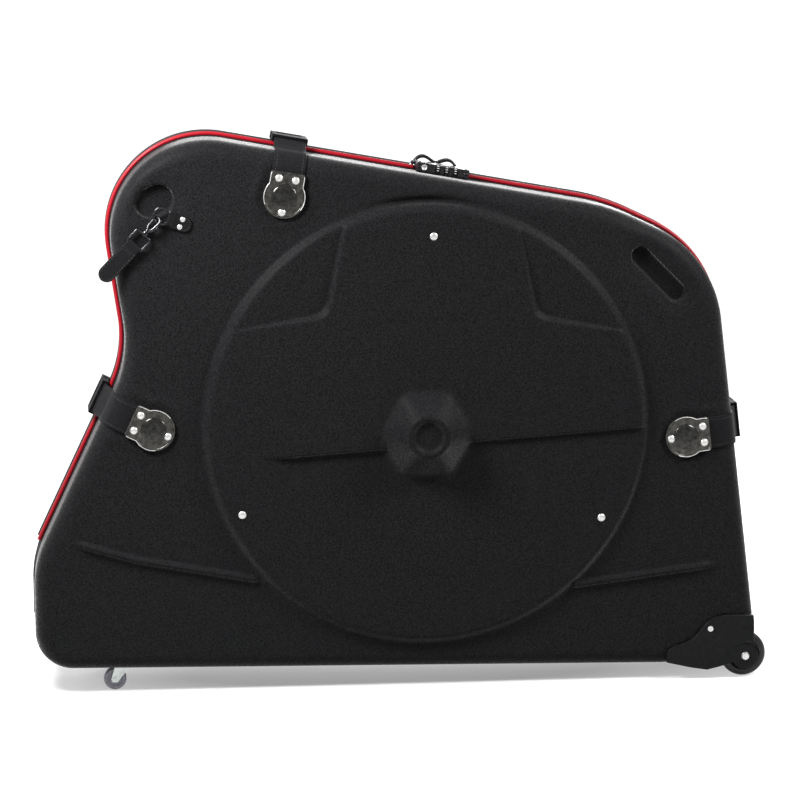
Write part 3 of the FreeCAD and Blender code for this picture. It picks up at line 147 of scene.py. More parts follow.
def outline_loop(outset, spacing=6):
    """Points (x, z) round the outline moved outwards; the count is the same for every outset."""
    corners = offset_corners(outset)
    base = offset_corners(0)
    count = len(corners)
    arcs, ends = [], []
    for i in range(count):
        point, radius = corners[i]
        u = corners[i - 1][0] - point
        v = corners[(i + 1) % count][0] - point
        u, v = u / np.linalg.norm(u), v / np.linalg.norm(v)
        half = math.acos(np.clip(u @ v, -1, 1)) / 2
        middle = (u + v) / np.linalg.norm(u + v)
        centre = point + middle * radius / math.sin(half)
        start, end = point + u * radius / math.tan(half), point + v * radius / math.tan(half)
        turn = math.pi - 2 * half
        steps = max(4, math.ceil(turn * base[i][1] / spacing))
        first = start - centre
        side = 1 if first[0] * (end - centre)[1] - first[1] * (end - centre)[0] > 0 else -1
        arc = []
        for k in range(steps):
            angle = side * turn * k / steps
            c, s = math.cos(angle), math.sin(angle)
            arc.append(centre + np.array([first[0] * c - first[1] * s, first[0] * s + first[1] * c]))
        arcs.append(arc)
        ends.append((start, end))
    points = []
    for i in range(count):
        points += arcs[i]
        a, b = ends[i][1], ends[(i + 1) % count][0]
        reference = np.linalg.norm(base[i][0] - base[(i + 1) % count][0])
        steps = max(2, math.ceil(reference / spacing / 1.3))
        points += [a + (b - a) * k / steps for k in range(steps)]
    return np.array(points)


def open_loop(outset, end_z, spacing=6):
    """The part of the outline above end_z, from the left end over the top to the right end."""
    loop = outline_loop(outset, spacing)
    low = np.where(loop[:, 1] < end_z)[0]
    bottom = low[np.argmin(np.abs(loop[low, 0]))]
    loop = np.roll(loop, -bottom, axis=0)
    return loop[loop[:, 1] >= end_z]


# Meshes

def new_piece(name, points, faces, material, smooth=True):
    """An object from points in millimetres."""
    mesh = bpy.data.meshes.new(name)
    mesh.from_pydata([tuple(float(c) * MM for c in p) for p in points], [], faces)
    mesh.validate()
    if smooth:
        mesh.shade_smooth()
    piece = bpy.data.objects.new(name, mesh)
    bpy.context.scene.collection.objects.link(piece)
    piece.data.materials.append(material)
    return piece


def smooth_max(a, b, reach):
    share = np.clip(0.5 + 0.5 * (a - b) / reach, 0, 1)
    return b + (a - b) * share + reach * share * (1 - share)


def smooth_min(a, b, reach):
    return -smooth_max(-a, -b, reach)


def ramp(value, low, high):
    share = np.clip((value - low) / (high - low), 0, 1)
    return share * share * (3 - 2 * share)


def beside(x, z, p, q):
    """Signed distance from the line p to q, positive on its right."""
    length = math.hypot(q[0] - p[0], q[1] - p[1])
    return ((x - p[0]) * (q[1] - p[1]) - (z - p[1]) * (q[0] - p[0])) / length


def from_segment(x, z, p, q):
    """Distance from a straight run."""
    dx, dz = q[0] - p[0], q[1] - p[1]
    share = np.clip(((x - p[0]) * dx + (z - p[1]) * dz) / (dx * dx + dz * dz), 0, 1)
    return np.hypot(x - p[0] - share * dx, z - p[1] - share * dz)


def arc(u, v, radius, first, last, count):
    """Points on an arc about (u, v), from one angle in degrees to another."""
    turns = np.radians(np.linspace(first, last, count))
    return [(u + radius * math.cos(t), v + radius * math.sin(t)) for t in turns]


# Moulded face

LEFT_SECTOR = [(-455, 572), (-120, 615), (-73, 880)]
RIGHT_SECTOR = [(163, 880), (210, 608), (525, 560)]
SECTOR_DEPTH, SECTOR_RIM_DEPTH, SECTOR_SLOPE, SECTOR_ROUND = 11, 1.5, 0.9, 22
GROOVE_RADIUS, GROOVE_HALF, GROOVE_SINK, GROOVE_START, GROOVE_END = 366, 6, 7, 72, 108
STEP_START, STEP_END = (-227, 388), (485, 436)
STEP_DEEP, STEP_SHALLOW, STEP_LOW_Z = 8, 5.5, 95
BEADS = [[(-545, 257), (-435, 224), (-243, 188)], [(283, 166), (528, 196)]]
BEAD_HEIGHT, BEAD_HALF = 7, 8
SLOT_CENTRE, SLOT_LENGTH, SLOT_WIDTH, SLOT_ANGLE, SLOT_SINK = (416, 677), 116, 33, -45, 16
THUMB_CENTRE, THUMB_LENGTH, THUMB_WIDTH, THUMB_ANGLE, THUMB_SINK = (-397, 804), 64, 50, 25, 15
PLATE_LIP, PLATE_LIP_REACH, PLATE_LIP_HALF = 2.2, 12, 7.2
GROOVE_FADE, BEAD_FADE, EDGE_PLAIN = 14, 40, 4
STEP_MOST, STEP_SLOPE, STEP_FADE_BEFORE, STEP_FADE_AFTER = 1.2, 2.2, 12, 55
POCKET_DIP, POCKET_SLOPE, POCKET_BLEND, SLOT_DIP_REACH, THUMB_DIP_REACH = 4, 5, 3, 14, 16
CAP_EDGE, CAP_SLOPE, DISH_SLOPE = 3, 1.2, 1.1

# Reach over which neighbouring shapes of the face run into each other
SECTOR_BLEND, STEP_BLEND, DISC_BLEND, DISC_FOOT_BLEND = 2, 1.2, 5, 3.5
HUB_EDGE_BLEND, HUB_TOP_BLEND, HUB_FOOT_BLEND, CAP_BLEND, DISH_BLEND = 14, 10, 7, 3, 2

# Mesh of the face: spacing, distance from the border and least bend for each fineness
FACE_GRIDS = [(9, 5, 0), (4.5, 3, 0.035), (2.25, 2, 0.22)]
SAME_POINT, BEND_STEP = 1.5, 3.0


def sector(x, z, first, corner, last, rim_x, rim_z):
    """Depth of one upper pocket of the disc; its floor runs from the inner corner up to the rim."""
    inside = smooth_min(beside(x, z, corner, first), beside(x, z, last, corner), SECTOR_ROUND)
    dx, dz = rim_x - corner[0], rim_z - corner[1]
    share = ((x - corner[0]) * dx + (z - corner[1]) * dz) / (dx * dx + dz * dz)
    floor = DISC_DEPTH - SECTOR_DEPTH + (SECTOR_DEPTH - SECTOR_RIM_DEPTH) * np.clip(share, -0.1, 1)
    return smooth_max(floor, DISC_DEPTH - inside / SECTOR_SLOPE, 2.5)


def stadium(x, z, centre, length, width, angle):
    """Signed distance from a rounded pocket's mouth, negative inside."""
    c, s = math.cos(math.radians(angle)), math.sin(math.radians(angle))
    along = (x - centre[0]) * c + (z - centre[1]) * s
    across = -(x - centre[0]) * s + (z - centre[1]) * c
    over = np.maximum(np.abs(along) - (length - width) / 2, 0)
    return np.hypot(over, across) - width / 2


def pocket(depth, distance, sink, dip_reach):
    """Sinks a pocket with steep sides, and a soft dip round its mouth."""
    depth = depth - POCKET_DIP * np.exp(-(np.maximum(distance, 0) / dip_reach) ** 2)
    wall = FACE_DEPTH - POCKET_DIP + distance * POCKET_SLOPE
    return smooth_min(depth, smooth_max(wall, FACE_DEPTH - sink, POCKET_BLEND), POCKET_BLEND)


def plate_distance(x, z, place, back):
    """Distance outside a strap's plate, round end and neck together."""
    base, along, out = place
    u = (x - base[0]) * along[0] + (z - base[1]) * along[1]
    v = (x - base[0]) * out[0] + (z - base[1]) * out[1] + back
    disc = np.hypot(u, v) - PLATE_RADIUS
    neck = np.hypot(np.maximum(np.abs(u) - PLATE_NECK / 2, 0), np.maximum(-v, 0))
    return np.minimum(disc, neck)


def disc_depth(x, z, radius):
    """Depth of the raised disc, with its two pockets and the crease across it."""
    rim = (DISC_RADIUS - DISC_SLOPE) * math.sqrt(0.5)
    top = np.full_like(x, DISC_DEPTH)
    for outline, side in ((LEFT_SECTOR, -1), (RIGHT_SECTOR, 1)):
        top = smooth_min(top, sector(x, z, *outline, DISC_X + side * rim, DISC_Z + rim), SECTOR_BLEND)
    along = np.clip((x - STEP_START[0]) / (STEP_END[0] - STEP_START[0]), 0, 1)
    sink = STEP_DEEP + (STEP_SHALLOW - STEP_DEEP) * along
    sink = sink * np.clip((z - STEP_LOW_Z) / (STEP_START[1] - STEP_LOW_Z), 0, STEP_MOST)
    sink = sink * ramp(x, STEP_START[0] - STEP_FADE_BEFORE, STEP_START[0] + STEP_FADE_AFTER)
    wall = DISC_DEPTH - beside(x, z, STEP_START, STEP_END) * STEP_SLOPE
    top = smooth_min(top, smooth_max(DISC_DEPTH - sink, wall, 1.5), STEP_BLEND)
    edge = DISC_DEPTH - (radius - DISC_RADIUS + DISC_SLOPE) * DISC_RISE / DISC_SLOPE
    return smooth_min(top, edge, DISC_BLEND)


def bead_height(x, z):
    """Height of the beads over the face; each fades out towards its outer end."""
    height = np.zeros_like(x)
    for points in BEADS:
        away = np.min([from_segment(x, z, p, q) for p, q in zip(points, points[1:])], axis=0)
        bump = np.cos(np.clip(away / BEAD_HALF, 0, 1) * math.pi / 2) ** 1.5
        outer = max(points, key=lambda p: abs(p[0]))
        height += BEAD_HEIGHT * bump * ramp(np.hypot(x - outer[0], z - outer[1]), 0, BEAD_FADE)
    return height


def lip_height(x, z):
    """Height of the soft lip round each strap's plate."""
    height = np.zeros_like(x)
    for place, back in SETS.values():
        away = plate_distance(x, z, place, back) - PLATE_LIP_REACH
        height += PLATE_LIP * np.exp(-(away / PLATE_LIP_HALF) ** 2)
    return height


def add_hub(depth, x, z):
    """The face with the six-sided dome on it, and a dished cap on the dome."""
    across = None
    for turn in np.radians(range(30, 390, 60)):
        flat = (x - HUB_X) * math.cos(turn) + (z - HUB_Z) * math.sin(turn)
        across = flat if across is None else smooth_max(across, flat, HUB_EDGE_BLEND)
    inner, outer = HUB_TOP_RADIUS * math.cos(math.pi / 6), HUB_RADIUS * math.cos(math.pi / 6)
    dome = HUB_DEPTH - (across - inner) * HUB_RISE / (outer - inner)
    depth = smooth_max(depth, smooth_min(dome, HUB_DEPTH, HUB_TOP_BLEND), HUB_FOOT_BLEND)
    radius = np.hypot(x - HUB_X, z - HUB_Z)
    top = HUB_DEPTH + CAP_RISE
    cap = smooth_min(top - (radius - CAP_RADIUS + CAP_EDGE) * CAP_SLOPE, top, CAP_BLEND)
    depth = smooth_max(depth, cap, CAP_BLEND)
    dish = smooth_max(top - (DISH_RADIUS + CAP_EDGE - radius) * DISH_SLOPE, top - DISH_SINK, CAP_BLEND)
    return np.where(radius < CAP_RADIUS, smooth_min(depth, dish, DISH_BLEND), depth)


def face_depth(x, z):
    """Distance of the moulded face from the parting plane, away from the rounded edge."""
    radius = np.hypot(x - DISC_X, z - DISC_Z)
    depth = FACE_DEPTH + bead_height(x, z) + lip_height(x, z)
    depth = smooth_max(depth, disc_depth(x, z, radius), DISC_FOOT_BLEND)
    turn = np.degrees(np.arctan2(z - DISC_Z, x - DISC_X))
    ends = ramp(turn, GROOVE_START, GROOVE_START + GROOVE_FADE)
    ends = ends * ramp(-turn, -GROOVE_END, GROOVE_FADE - GROOVE_END)
    depth = depth - GROOVE_SINK * ends * np.exp(-((radius - GROOVE_RADIUS) / GROOVE_HALF) ** 4)
    depth = add_hub(depth, x, z)
    slot = stadium(x, z, SLOT_CENTRE, SLOT_LENGTH, SLOT_WIDTH, SLOT_ANGLE)
    depth = pocket(depth, slot, SLOT_SINK, SLOT_DIP_REACH)
    thumb = stadium(x, z, THUMB_CENTRE, THUMB_LENGTH, THUMB_WIDTH, THUMB_ANGLE)
    return pocket(depth, thumb, THUMB_SINK, THUMB_DIP_REACH)


def depth_at(x, z):
    """Depth of the face at one point."""
    return float(face_depth(np.array([float(x)]), np.array([float(z)]))[0])


def face_bend(x, z):
    """How sharply the face bends near each point, for choosing the mesh's fineness."""
    twice = 2 * face_depth(x, z)
    bend = np.zeros_like(x)
    for way_x, way_z in ((1, 0), (0, 1), (0.7, 0.7), (0.7, -0.7)):
        dx, dz = way_x * BEND_STEP, way_z * BEND_STEP
        bend = np.maximum(bend, np.abs(face_depth(x + dx, z + dz) + face_depth(x - dx, z - dz) - twice))
    return bend


def grid_points(spacing, loop, tree, keep_off):
    """Points of a triangular grid inside a loop, at least keep_off away from it."""
    low, high = loop.min(0), loop.max(0)
    rows = []
    z = low[1]
    shift = 0
    while z < high[1]:
        xs = np.arange(low[0] + shift, high[0], spacing)
        rows.append(np.column_stack([xs, np.full_like(xs, z)]))
        z += spacing * math.sqrt(0.75)
        shift = spacing / 2 - shift
    points = np.vstack(rows)
    inside = np.zeros(len(points), bool)
    a, b = loop, np.roll(loop, -1, axis=0)
    for (ax, az), (bx, bz) in zip(a, b):
        crosses = (az > points[:, 1]) != (bz > points[:, 1])
        if crosses.any():
            at = ax + (points[:, 1] - az) / (bz - az + 1e-12) * (bx - ax)
            inside ^= crosses & (points[:, 0] < at)
    points = points[inside]
    near = np.array([tree.find((p[0], p[1], 0))[2] for p in points])
    return points[near > keep_off]


def face_points(border):
    """Points inside the border, closer together where the face bends."""
    tree = KDTree(len(border))
    for k, (x, z) in enumerate(border):
        tree.insert((x, z, 0), k)
    tree.balance()
    known = {}
    for spacing, keep_off, least_bend in FACE_GRIDS:
        points = grid_points(spacing, border, tree, keep_off)
        for x, z in points[face_bend(points[:, 0], points[:, 1]) >= least_bend]:
            known.setdefault((round(x / SAME_POINT), round(z / SAME_POINT)), (x, z))
    return list(known.values())


def shell_surface():
    """Points (x, depth, z) and faces of one half's outer skin, from the rim over the edge to the face."""
    rings = [(0.0, depth) for depth in np.linspace(RIM_DEPTH, HOUSING_BACK, 4)]
    rings += [(0.0, depth) for depth in np.linspace(HOUSING_BACK, FACE_DEPTH - EDGE_RADIUS, 3)[1:]]
    rings += [(EDGE_RADIUS - u, v) for u, v in arc(0, FACE_DEPTH - EDGE_RADIUS, EDGE_RADIUS, 0, 90, 10)[1:]]
    points, faces = [], []
    for inset, depth in rings:
        loop = outline_loop(-inset)
        lift = face_depth(loop[:, 0], loop[:, 1]) - FACE_DEPTH
        share = ramp(np.array(inset), EDGE_PLAIN, EDGE_RADIUS)
        points += [(x, depth + up * share, z) for (x, z), up in zip(loop, lift)]
    border = outline_loop(-EDGE_RADIUS)
    count = len(border)
    for row in range(len(rings) - 1):
        a, b = row * count, (row + 1) * count
        for k in range(count):
            after = (k + 1) % count
            faces.append((a + k, a + after, b + after, b + k))
    flat = [Vector(p) for p in [*border, *face_points(border)]]
    edges = [(k, (k + 1) % count) for k in range(count)]
    verts, _, triangles, *_ = delaunay_2d_cdt(flat, edges, [], 1, 1e-5)
    xs, zs = np.array(verts).T.astype(float)
    first = len(points) - count
    points += list(zip(xs, face_depth(xs, zs), zs))[count:]
    faces += [tuple(first + k for k in triangle) for triangle in triangles]
    return points, [face for face in faces if not in_housing(face, points)]


def in_housing(face, points):
    """True for a face of the corner that the wheel housing takes out of the shell."""
    x, depth, z = (sum(points[k][axis] for k in face) / len(face) for axis in range(3))
    if depth < HOUSING_BACK or x < HOUSING_EDGE[0][0]:
        return False
    edge = np.interp(x, [p[0] for p in HOUSING_EDGE], [p[1] for p in HOUSING_EDGE])
    return z < edge - HOUSING_LAP


def shells(material, lining):
    points, faces = shell_surface()
    for half, sign in HALVES.items():
        placed = [(x, sign * depth, z) for x, depth, z in points]
        piece = new_piece(half + "_moulded_shell", placed, faces, material)
        mesh = bmesh.new()
        mesh.from_mesh(piece.data)
        bmesh.ops.recalc_face_normals(mesh, faces=mesh.faces)
        outward = sum(f.normal.y * f.calc_area() for f in mesh.faces)
        if outward * sign < 0:
            bmesh.ops.reverse_faces(mesh, faces=mesh.faces)
        mesh.to_mesh(piece.data)
        mesh.free()
        piece.data.materials.append(lining)
        thick = piece.modifiers.new("wall", "SOLIDIFY")
        thick.thickness = WALL * MM
        thick.offset = -1
        thick.material_offset = 1
        thick.material_offset_rim = 0
        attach(piece, half + "_case")
        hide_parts(half + "_shell")


# Building blocks for the hardware

STRAP_EDGE = 3.5
HEAD_TAPER = 0.96


class Builder:
    """Collects points and faces in millimetres, then makes one object that rides on a body."""

    def __init__(self):
        self.points, self.faces, self.slots = [], [], []

    def add(self, points, faces, slot=0):
        start = len(self.points)
        self.points += [tuple(p) for p in points]
        self.faces += [tuple(start + k for k in face) for face in faces]
        self.slots += [slot] * len(faces)

    def rings(self, rings, slot=0, closed=False, caps=True):
        """Joins rings of equally many points; closed joins the last to the first."""
        count = len(rings[0])
        points = [p for ring in rings for p in ring]
        faces = []
        for row in range(len(rings) if closed else len(rings) - 1):
            a, b = row * count, (row + 1) % len(rings) * count
            for k in range(count):
                n = (k + 1) % count
                faces.append((a + k, a + n, b + n, b + k))
        if caps and not closed:
            faces.append(tuple(range(count))[::-1])
            last = (len(rings) - 1) * count
            faces.append(tuple(last + k for k in range(count)))
        self.add(points, faces, slot)

    def tube(self, path, radius, slot=0, sides=10, closed=False):
        """A round bar along a path of points."""
        path = [np.array(p, float) for p in path]
        count = len(path)
        radii = radius if hasattr(radius, "__len__") else [radius] * count
        rings = []
        normal = None
        for k in range(count):
            before = path[k - 1] if k or closed else path[k]
            after = path[(k + 1) % count] if k < count - 1 or closed else path[k]
            along = after - before
            along = along / np.linalg.norm(along)
            if normal is None:
                helper = np.array([0, 0, 1.0]) if abs(along[2]) < 0.9 else np.array([1.0, 0, 0])
                normal = np.cross(along, helper)
            normal = normal - along * (normal @ along)
            normal = normal / np.linalg.norm(normal)
            side = np.cross(along, normal)
            turns = [2 * math.pi * j / sides for j in range(sides)]
            rings.append([path[k] + radii[k] * (math.cos(t) * normal + math.sin(t) * side) for t in turns])
        self.rings(rings, slot, closed)

    def lathe(self, profile, centre, axis, slot=0, steps=28):
        """Turns (radius, height) points about an axis through centre."""
        axis = np.array(axis, float) / np.linalg.norm(axis)
        helper = np.array([0, 0, 1.0]) if abs(axis[2]) < 0.9 else np.array([1.0, 0, 0])
        across = np.cross(axis, helper)
        across = across / np.linalg.norm(across)
        side = np.cross(axis, across)
        rings = []
        for radius, height in profile:
            ring = []
            for j in range(steps):
                t = 2 * math.pi * j / steps
                ring.append(np.array(centre, float) + axis * height
                            + max(radius, 0.02) * (math.cos(t) * across + math.sin(t) * side))
            rings.append(ring)
        closed = profile[0] == profile[-1]
        self.rings(rings[:-1] if closed else rings, slot, closed)

    def block(self, place, low, high, slot=0):
        """A box between two opposite corners of a local frame."""
        (a0, b0, c0), (a1, b1, c1) = np.sort([low, high], axis=0)
        points = [place(a, b, c) for a in (a0, a1) for b in (b0, b1) for c in (c0, c1)]
        faces = [(0, 1, 3, 2), (4, 6, 7, 5), (0, 4, 5, 1), (2, 3, 7, 6), (0, 2, 6, 4), (1, 5, 7, 3)]
        self.add(points, faces, slot)

    def make(self, name, body, slot, replaced, materials, bevel=0.0, sharp=38, segments=3):
        materials = materials if isinstance(materials, list) else [materials]
        piece = new_piece(name, self.points, self.faces, materials[0])
        for extra in materials[1:]:
            piece.data.materials.append(extra)
        for face, number in zip(piece.data.polygons, self.slots):
            face.material_index = number
        mesh = bmesh.new()
        mesh.from_mesh(piece.data)
        bmesh.ops.recalc_face_normals(mesh, faces=mesh.faces)
        mesh.to_mesh(piece.data)
        mesh.free()
        piece.data.shade_smooth()
        piece.data.set_sharp_from_angle(angle=math.radians(sharp))
        if bevel:
            edge = piece.modifiers.new("edge", "BEVEL")
            edge.width = bevel * MM
            edge.segments = segments
            edge.limit_method = "ANGLE"
            edge.angle_limit = math.radians(30)
            edge.use_clamp_overlap = True
            edge.harden_normals = True
        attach(piece, body)
        if replaced:
            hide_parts(*([replaced] if isinstance(replaced, str) else replaced))
        return piece


def in_frame(place, sign=1):
    """A map from (along, y, outwards) in a side's frame to the shared frame; sign -1 mirrors y."""
    base, along, out = place

    def at(u, y, v):
        return np.array([base[0] + u * along[0] + v * out[0], sign * y,
                         base[1] + u * along[1] + v * out[1]])
    return at


def path_normal(path, k):
    """The unit normal of a path of (y, v) points at its point k."""
    (y0, v0), (y1, v1) = path[max(k - 1, 0)], path[min(k + 1, len(path) - 1)]
    length = math.hypot(y1 - y0, v1 - v0)
    return -(v1 - v0) / length, (y1 - y0) / length


def ribbon(build, at, path, widths, thickness):
    """A flat strap with rounded edges along a path of (y, v) points, lying across u."""
    rings = []
    for k, (y, v) in enumerate(path):
        ny, nv = path_normal(path, k)
        profile = edge_profile(widths[k] / 2, thickness / 2)
        rings.append([at(s, y + ny * t, v + nv * t) for s, t in profile])
    build.rings(rings)


def mirrored(side):
    """A closed profile from the (radius, height) points of its lower half."""
    return side + [(radius, -height) for radius, height in side[::-1]] + [side[0]]


def edge_profile(half, half_t):
    """A strap's cross-section: flat faces, edges rounded and slightly thinner than the middle."""
    turn = [math.radians(a) for a in (60, 20, -20, -60)]
    right = [(half - half_t * (1 - math.cos(a)), half_t * math.sin(a)) for a in turn]
    inner = half - STRAP_EDGE
    points = [(-inner, half_t), (inner, half_t)] + right + [(inner, -half_t), (-inner, -half_t)]
    return points + [(-s, t) for s, t in right[::-1]]


def stitches(build, points, slot, length=3.2, gap=2.2, radius=0.45):
    """Short threads along a line of points."""
    points = [np.array(p, float) for p in points]
    lengths = [0.0]
    for a, b in zip(points, points[1:]):
        lengths.append(lengths[-1] + np.linalg.norm(b - a))
    at = 1.0
    while at + length < lengths[-1]:
        ends = []
        for s in (at, at + length / 2, at + length):
            k = min(int(np.searchsorted(lengths, s, "right")) - 1, len(points) - 2)
            share = (s - lengths[k]) / max(lengths[k + 1] - lengths[k], 1e-9)
            ends.append(points[k] + (points[k + 1] - points[k]) * share)
        build.tube(ends, [radius * 0.5, radius, radius * 0.5], slot, sides=6)
        at += length + gap


def dome_profile(radius, height, rim=0.6):
    """A domed rivet head from its edge to its middle."""
    dome = [(HEAD_TAPER * radius * u, rim + (height - rim) * v) for u, v in arc(0, 0, 1, 0, 90, 7)]
    return [(radius, 0), (radius, rim)] + dome


# Closing straps

BUCKLE_LOW, BUCKLE_HEIGHT, BUCKLE_WIDTH = 9, 12, 58
BUCKLE_MID = BUCKLE_LOW + BUCKLE_HEIGHT / 2
SOCKET_START, SOCKET_END = -3, 31
TONGUE_START, TONGUE_END = -32, -4
TONGUE_LOOP, STRAP_ROOM, PRONG_HALF, SOCKET_WALL = 9, 1.8, 2.4, 2.6
RIVET_HEAD_RADIUS, RIVET_HEAD_HEIGHT = 6.3, 3
STRAP_TIP, STITCH_FIRST, STITCH_INSET, STITCH_LIFT = 30, 8, 5, 0.1


def strap_path(back, entry):
    """(y, v) from under the plate, over the rounded edge and up into the buckle, for the -y half."""
    rise = LAY_GAP + STRAP_THICKNESS / 2
    path = [(-FACE_DEPTH - rise, v - back) for v in (-24, -20, -14, -7, 0, 10, 20)]
    steps = np.linspace(20 - back, -EDGE_RADIUS - 1, 4)[1:]
    path += [(-FACE_DEPTH - rise, v) for v in steps]
    path += arc(EDGE_RADIUS - FACE_DEPTH, -EDGE_RADIUS, EDGE_RADIUS + rise, 180, 90, 15)
    lift = [(-27, 0.3), (-22, 1.4), (-17, 3.6), (-12, 6.6), (-7, 9.4), (-3, 11.2)]
    path += [(entry + y, rise + v) for y, v in lift]
    return path + [(entry + 1, BUCKLE_MID), (entry + 7.5, BUCKLE_MID)]


def strap_widths(path, back):
    """Full width, drawn in round where the strap ends under the plate."""
    widths = []
    for y, v in path:
        inside = v + back
        under = y < -FACE_DEPTH and inside < 0
        wide = 2 * math.sqrt(max((STRAP_WIDTH / 2) ** 2 - inside ** 2, STRAP_TIP))
        widths.append(wide if under else STRAP_WIDTH)
    return widths


def straps(half, sign, entry):
    for name, (place, back) in SETS.items():
        at = in_frame(place, -sign)
        path = strap_path(back, entry)
        build = Builder()
        ribbon(build, at, path, strap_widths(path, back), STRAP_THICKNESS)
        for side in (-1, 1):
            line = []
            for k in range(STITCH_FIRST, len(path) - 2):
                (y, v), (ny, nv) = path[k], path_normal(path, k)
                if ny > 0 and abs(ny) > abs(nv) or nv < 0:
                    ny, nv = -ny, -nv
                reach = STRAP_THICKNESS / 2 + STITCH_LIFT
                line.append(at(side * (STRAP_WIDTH / 2 - STITCH_INSET), y + ny * reach, v + nv * reach))
            stitches(build, line, 1)
        build.make("%s_%s_strap" % (half, name), half + "_case", "strap", half + "_straps",
                   [LEATHER, THREAD])


PLATE_CORNER = 5.0


def plate_ring(inset, depth, at, back):
    """One ring round a plate: round end, neck sides and rounded neck corners, moved inwards."""
    radius, half, reach = PLATE_RADIUS - inset, PLATE_NECK / 2 - inset, PLATE_REACH - inset
    low, high = math.sqrt(radius ** 2 - half ** 2), reach - PLATE_CORNER
    join = math.degrees(math.atan2(low, half))
    flat = arc(half - PLATE_CORNER, high, PLATE_CORNER, 90, 0, 6)
    flat += [(half, v) for v in np.linspace(high, low, 6)[1:-1]]
    flat += arc(0, 0, radius, join, -180 - join, 44)
    flat += [(-half, v) for v in np.linspace(low, high, 6)[1:-1]]
    flat += arc(PLATE_CORNER - half, high, PLATE_CORNER, 180, 90, 6)
    return [at(u, -depth, v - back) for u, v in flat]


# Place of the silver wire on each plate's sides: a painted highlight along the crest of the raised rim, where
# light catches it
PAINTED_HIGHLIGHT_START, PAINTED_HIGHLIGHT_WIRE, PAINTED_HIGHLIGHT_INSET, PAINTED_HIGHLIGHT_RISE = 16, 0.7, 1.2, 0.9
PLATE_PROFILE = [(0.4, -PLATE_THICKNESS), (0, -PLATE_THICKNESS + 0.6), (0, 0.2), (0.5, 0.9), (1.4, 1.15),
                 (2.3, 0.9), (2.9, 0.1), (3.4, -0.3)]
BOSS_PROFILE = [(BOSS_RADIUS - 0.6, -0.4), (BOSS_RADIUS - 1, 1.2), (BOSS_RADIUS - 1.8, 2),
                (BOSS_RADIUS - 4, 2.9), (BOSS_RADIUS - 8, 3.8), (BOSS_RADIUS - 13, 4.3), (4, BOSS_HEIGHT),
                (0, BOSS_HEIGHT)]


def plates(half, sign):
    for name, (place, back) in SETS.items():
        at = in_frame(place, -sign)
        build = Builder()
        build.rings([plate_ring(inset, PLATE_TOP + rise, at, back) for inset, rise in PLATE_PROFILE])
        out = np.array([0, sign, 0])
        build.lathe(BOSS_PROFILE, at(0, -PLATE_TOP, -back), out, 1, steps=44)
        # A brighter silver wire along the plate's sides only, a painted highlight on the rim; the plate's own
        # metal is darker
        rim = plate_ring(PAINTED_HIGHLIGHT_INSET, PLATE_TOP + PAINTED_HIGHLIGHT_RISE, at, back)
        reach = [p @ rim_way(place) for p in rim]
        sides = [k for k in range(len(rim)) if min(reach) + PAINTED_HIGHLIGHT_START < reach[k] < max(reach) - 1]
        for first in [k for k in sides if (k - 1) % len(rim) not in sides]:
            run = []
            while first % len(rim) in sides:
                run.append(rim[first % len(rim)])
                first += 1
            if len(run) > 1:
                build.tube(run, PAINTED_HIGHLIGHT_WIRE, 2, sides=8)
        build.make("%s_%s_plate_dressed" % (half, name), half + "_case", "plate",
                   "%s_%s_plate" % (half, name), [PLATE, BOSS, SILVER], sharp=30)


def rim_way(place):
    """The outward direction of a set's side as a vector in space."""
    return np.array([place[2][0], 0, place[2][1]])


WHEEL_SCREWS = [(47, 745), (-263, 297), (324, 279)]
TAB_CENTRE, TAB_ANGLE = np.array([-358, 771.0]), math.radians(158)
TAB_ALONG = np.array([math.cos(TAB_ANGLE), math.sin(TAB_ANGLE)])
TAB_ACROSS = np.array([-math.sin(TAB_ANGLE), math.cos(TAB_ANGLE)])
TAB_THICKNESS = 3.5
TAB_RIVET_BACK, TAB_RIVET_SIDE = 3, 6.5
DISC_SHANK_RADIUS, DISC_SHANK_LENGTH = 2.5, 15


def rivets(half, sign):
    """Domed heads of the plates' rivets, the disc's fasteners and the tab's rivets."""
    build = Builder()
    out = np.array([0, sign, 0])
    for place, back in SETS.values():
        at = in_frame(place, -sign)
        head = dome_profile(RIVET_HEAD_RADIUS, RIVET_HEAD_HEIGHT + 0.4)
        for u, v in [(-RIVET_PITCH / 2, RIVET_REACH), (RIVET_PITCH / 2, RIVET_REACH), (0, -RIVET_BACK)]:
            build.lathe(head, at(u, -PLATE_TOP + 0.5, v - back), out)
    for x, z in WHEEL_SCREWS:
        depth = depth_at(x, z)
        build.lathe(dome_profile(6.4, 2.8), (x, sign * (depth - 0.3), z), out)
        build.lathe([(DISC_SHANK_RADIUS, 0), (DISC_SHANK_RADIUS, -DISC_SHANK_LENGTH)],
                    (x, sign * depth, z), out)
    for side in (-1, 1):
        x, z = TAB_CENTRE - TAB_ALONG * TAB_RIVET_BACK + TAB_ACROSS * side * TAB_RIVET_SIDE
        build.lathe(dome_profile(4.2, 2), (x, sign * (STRAP_DEPTH + TAB_THICKNESS), z), out, steps=20)
    build.make(half + "_domed_rivets", half + "_case", "rivet", half + "_rivets", SILVER, sharp=50)


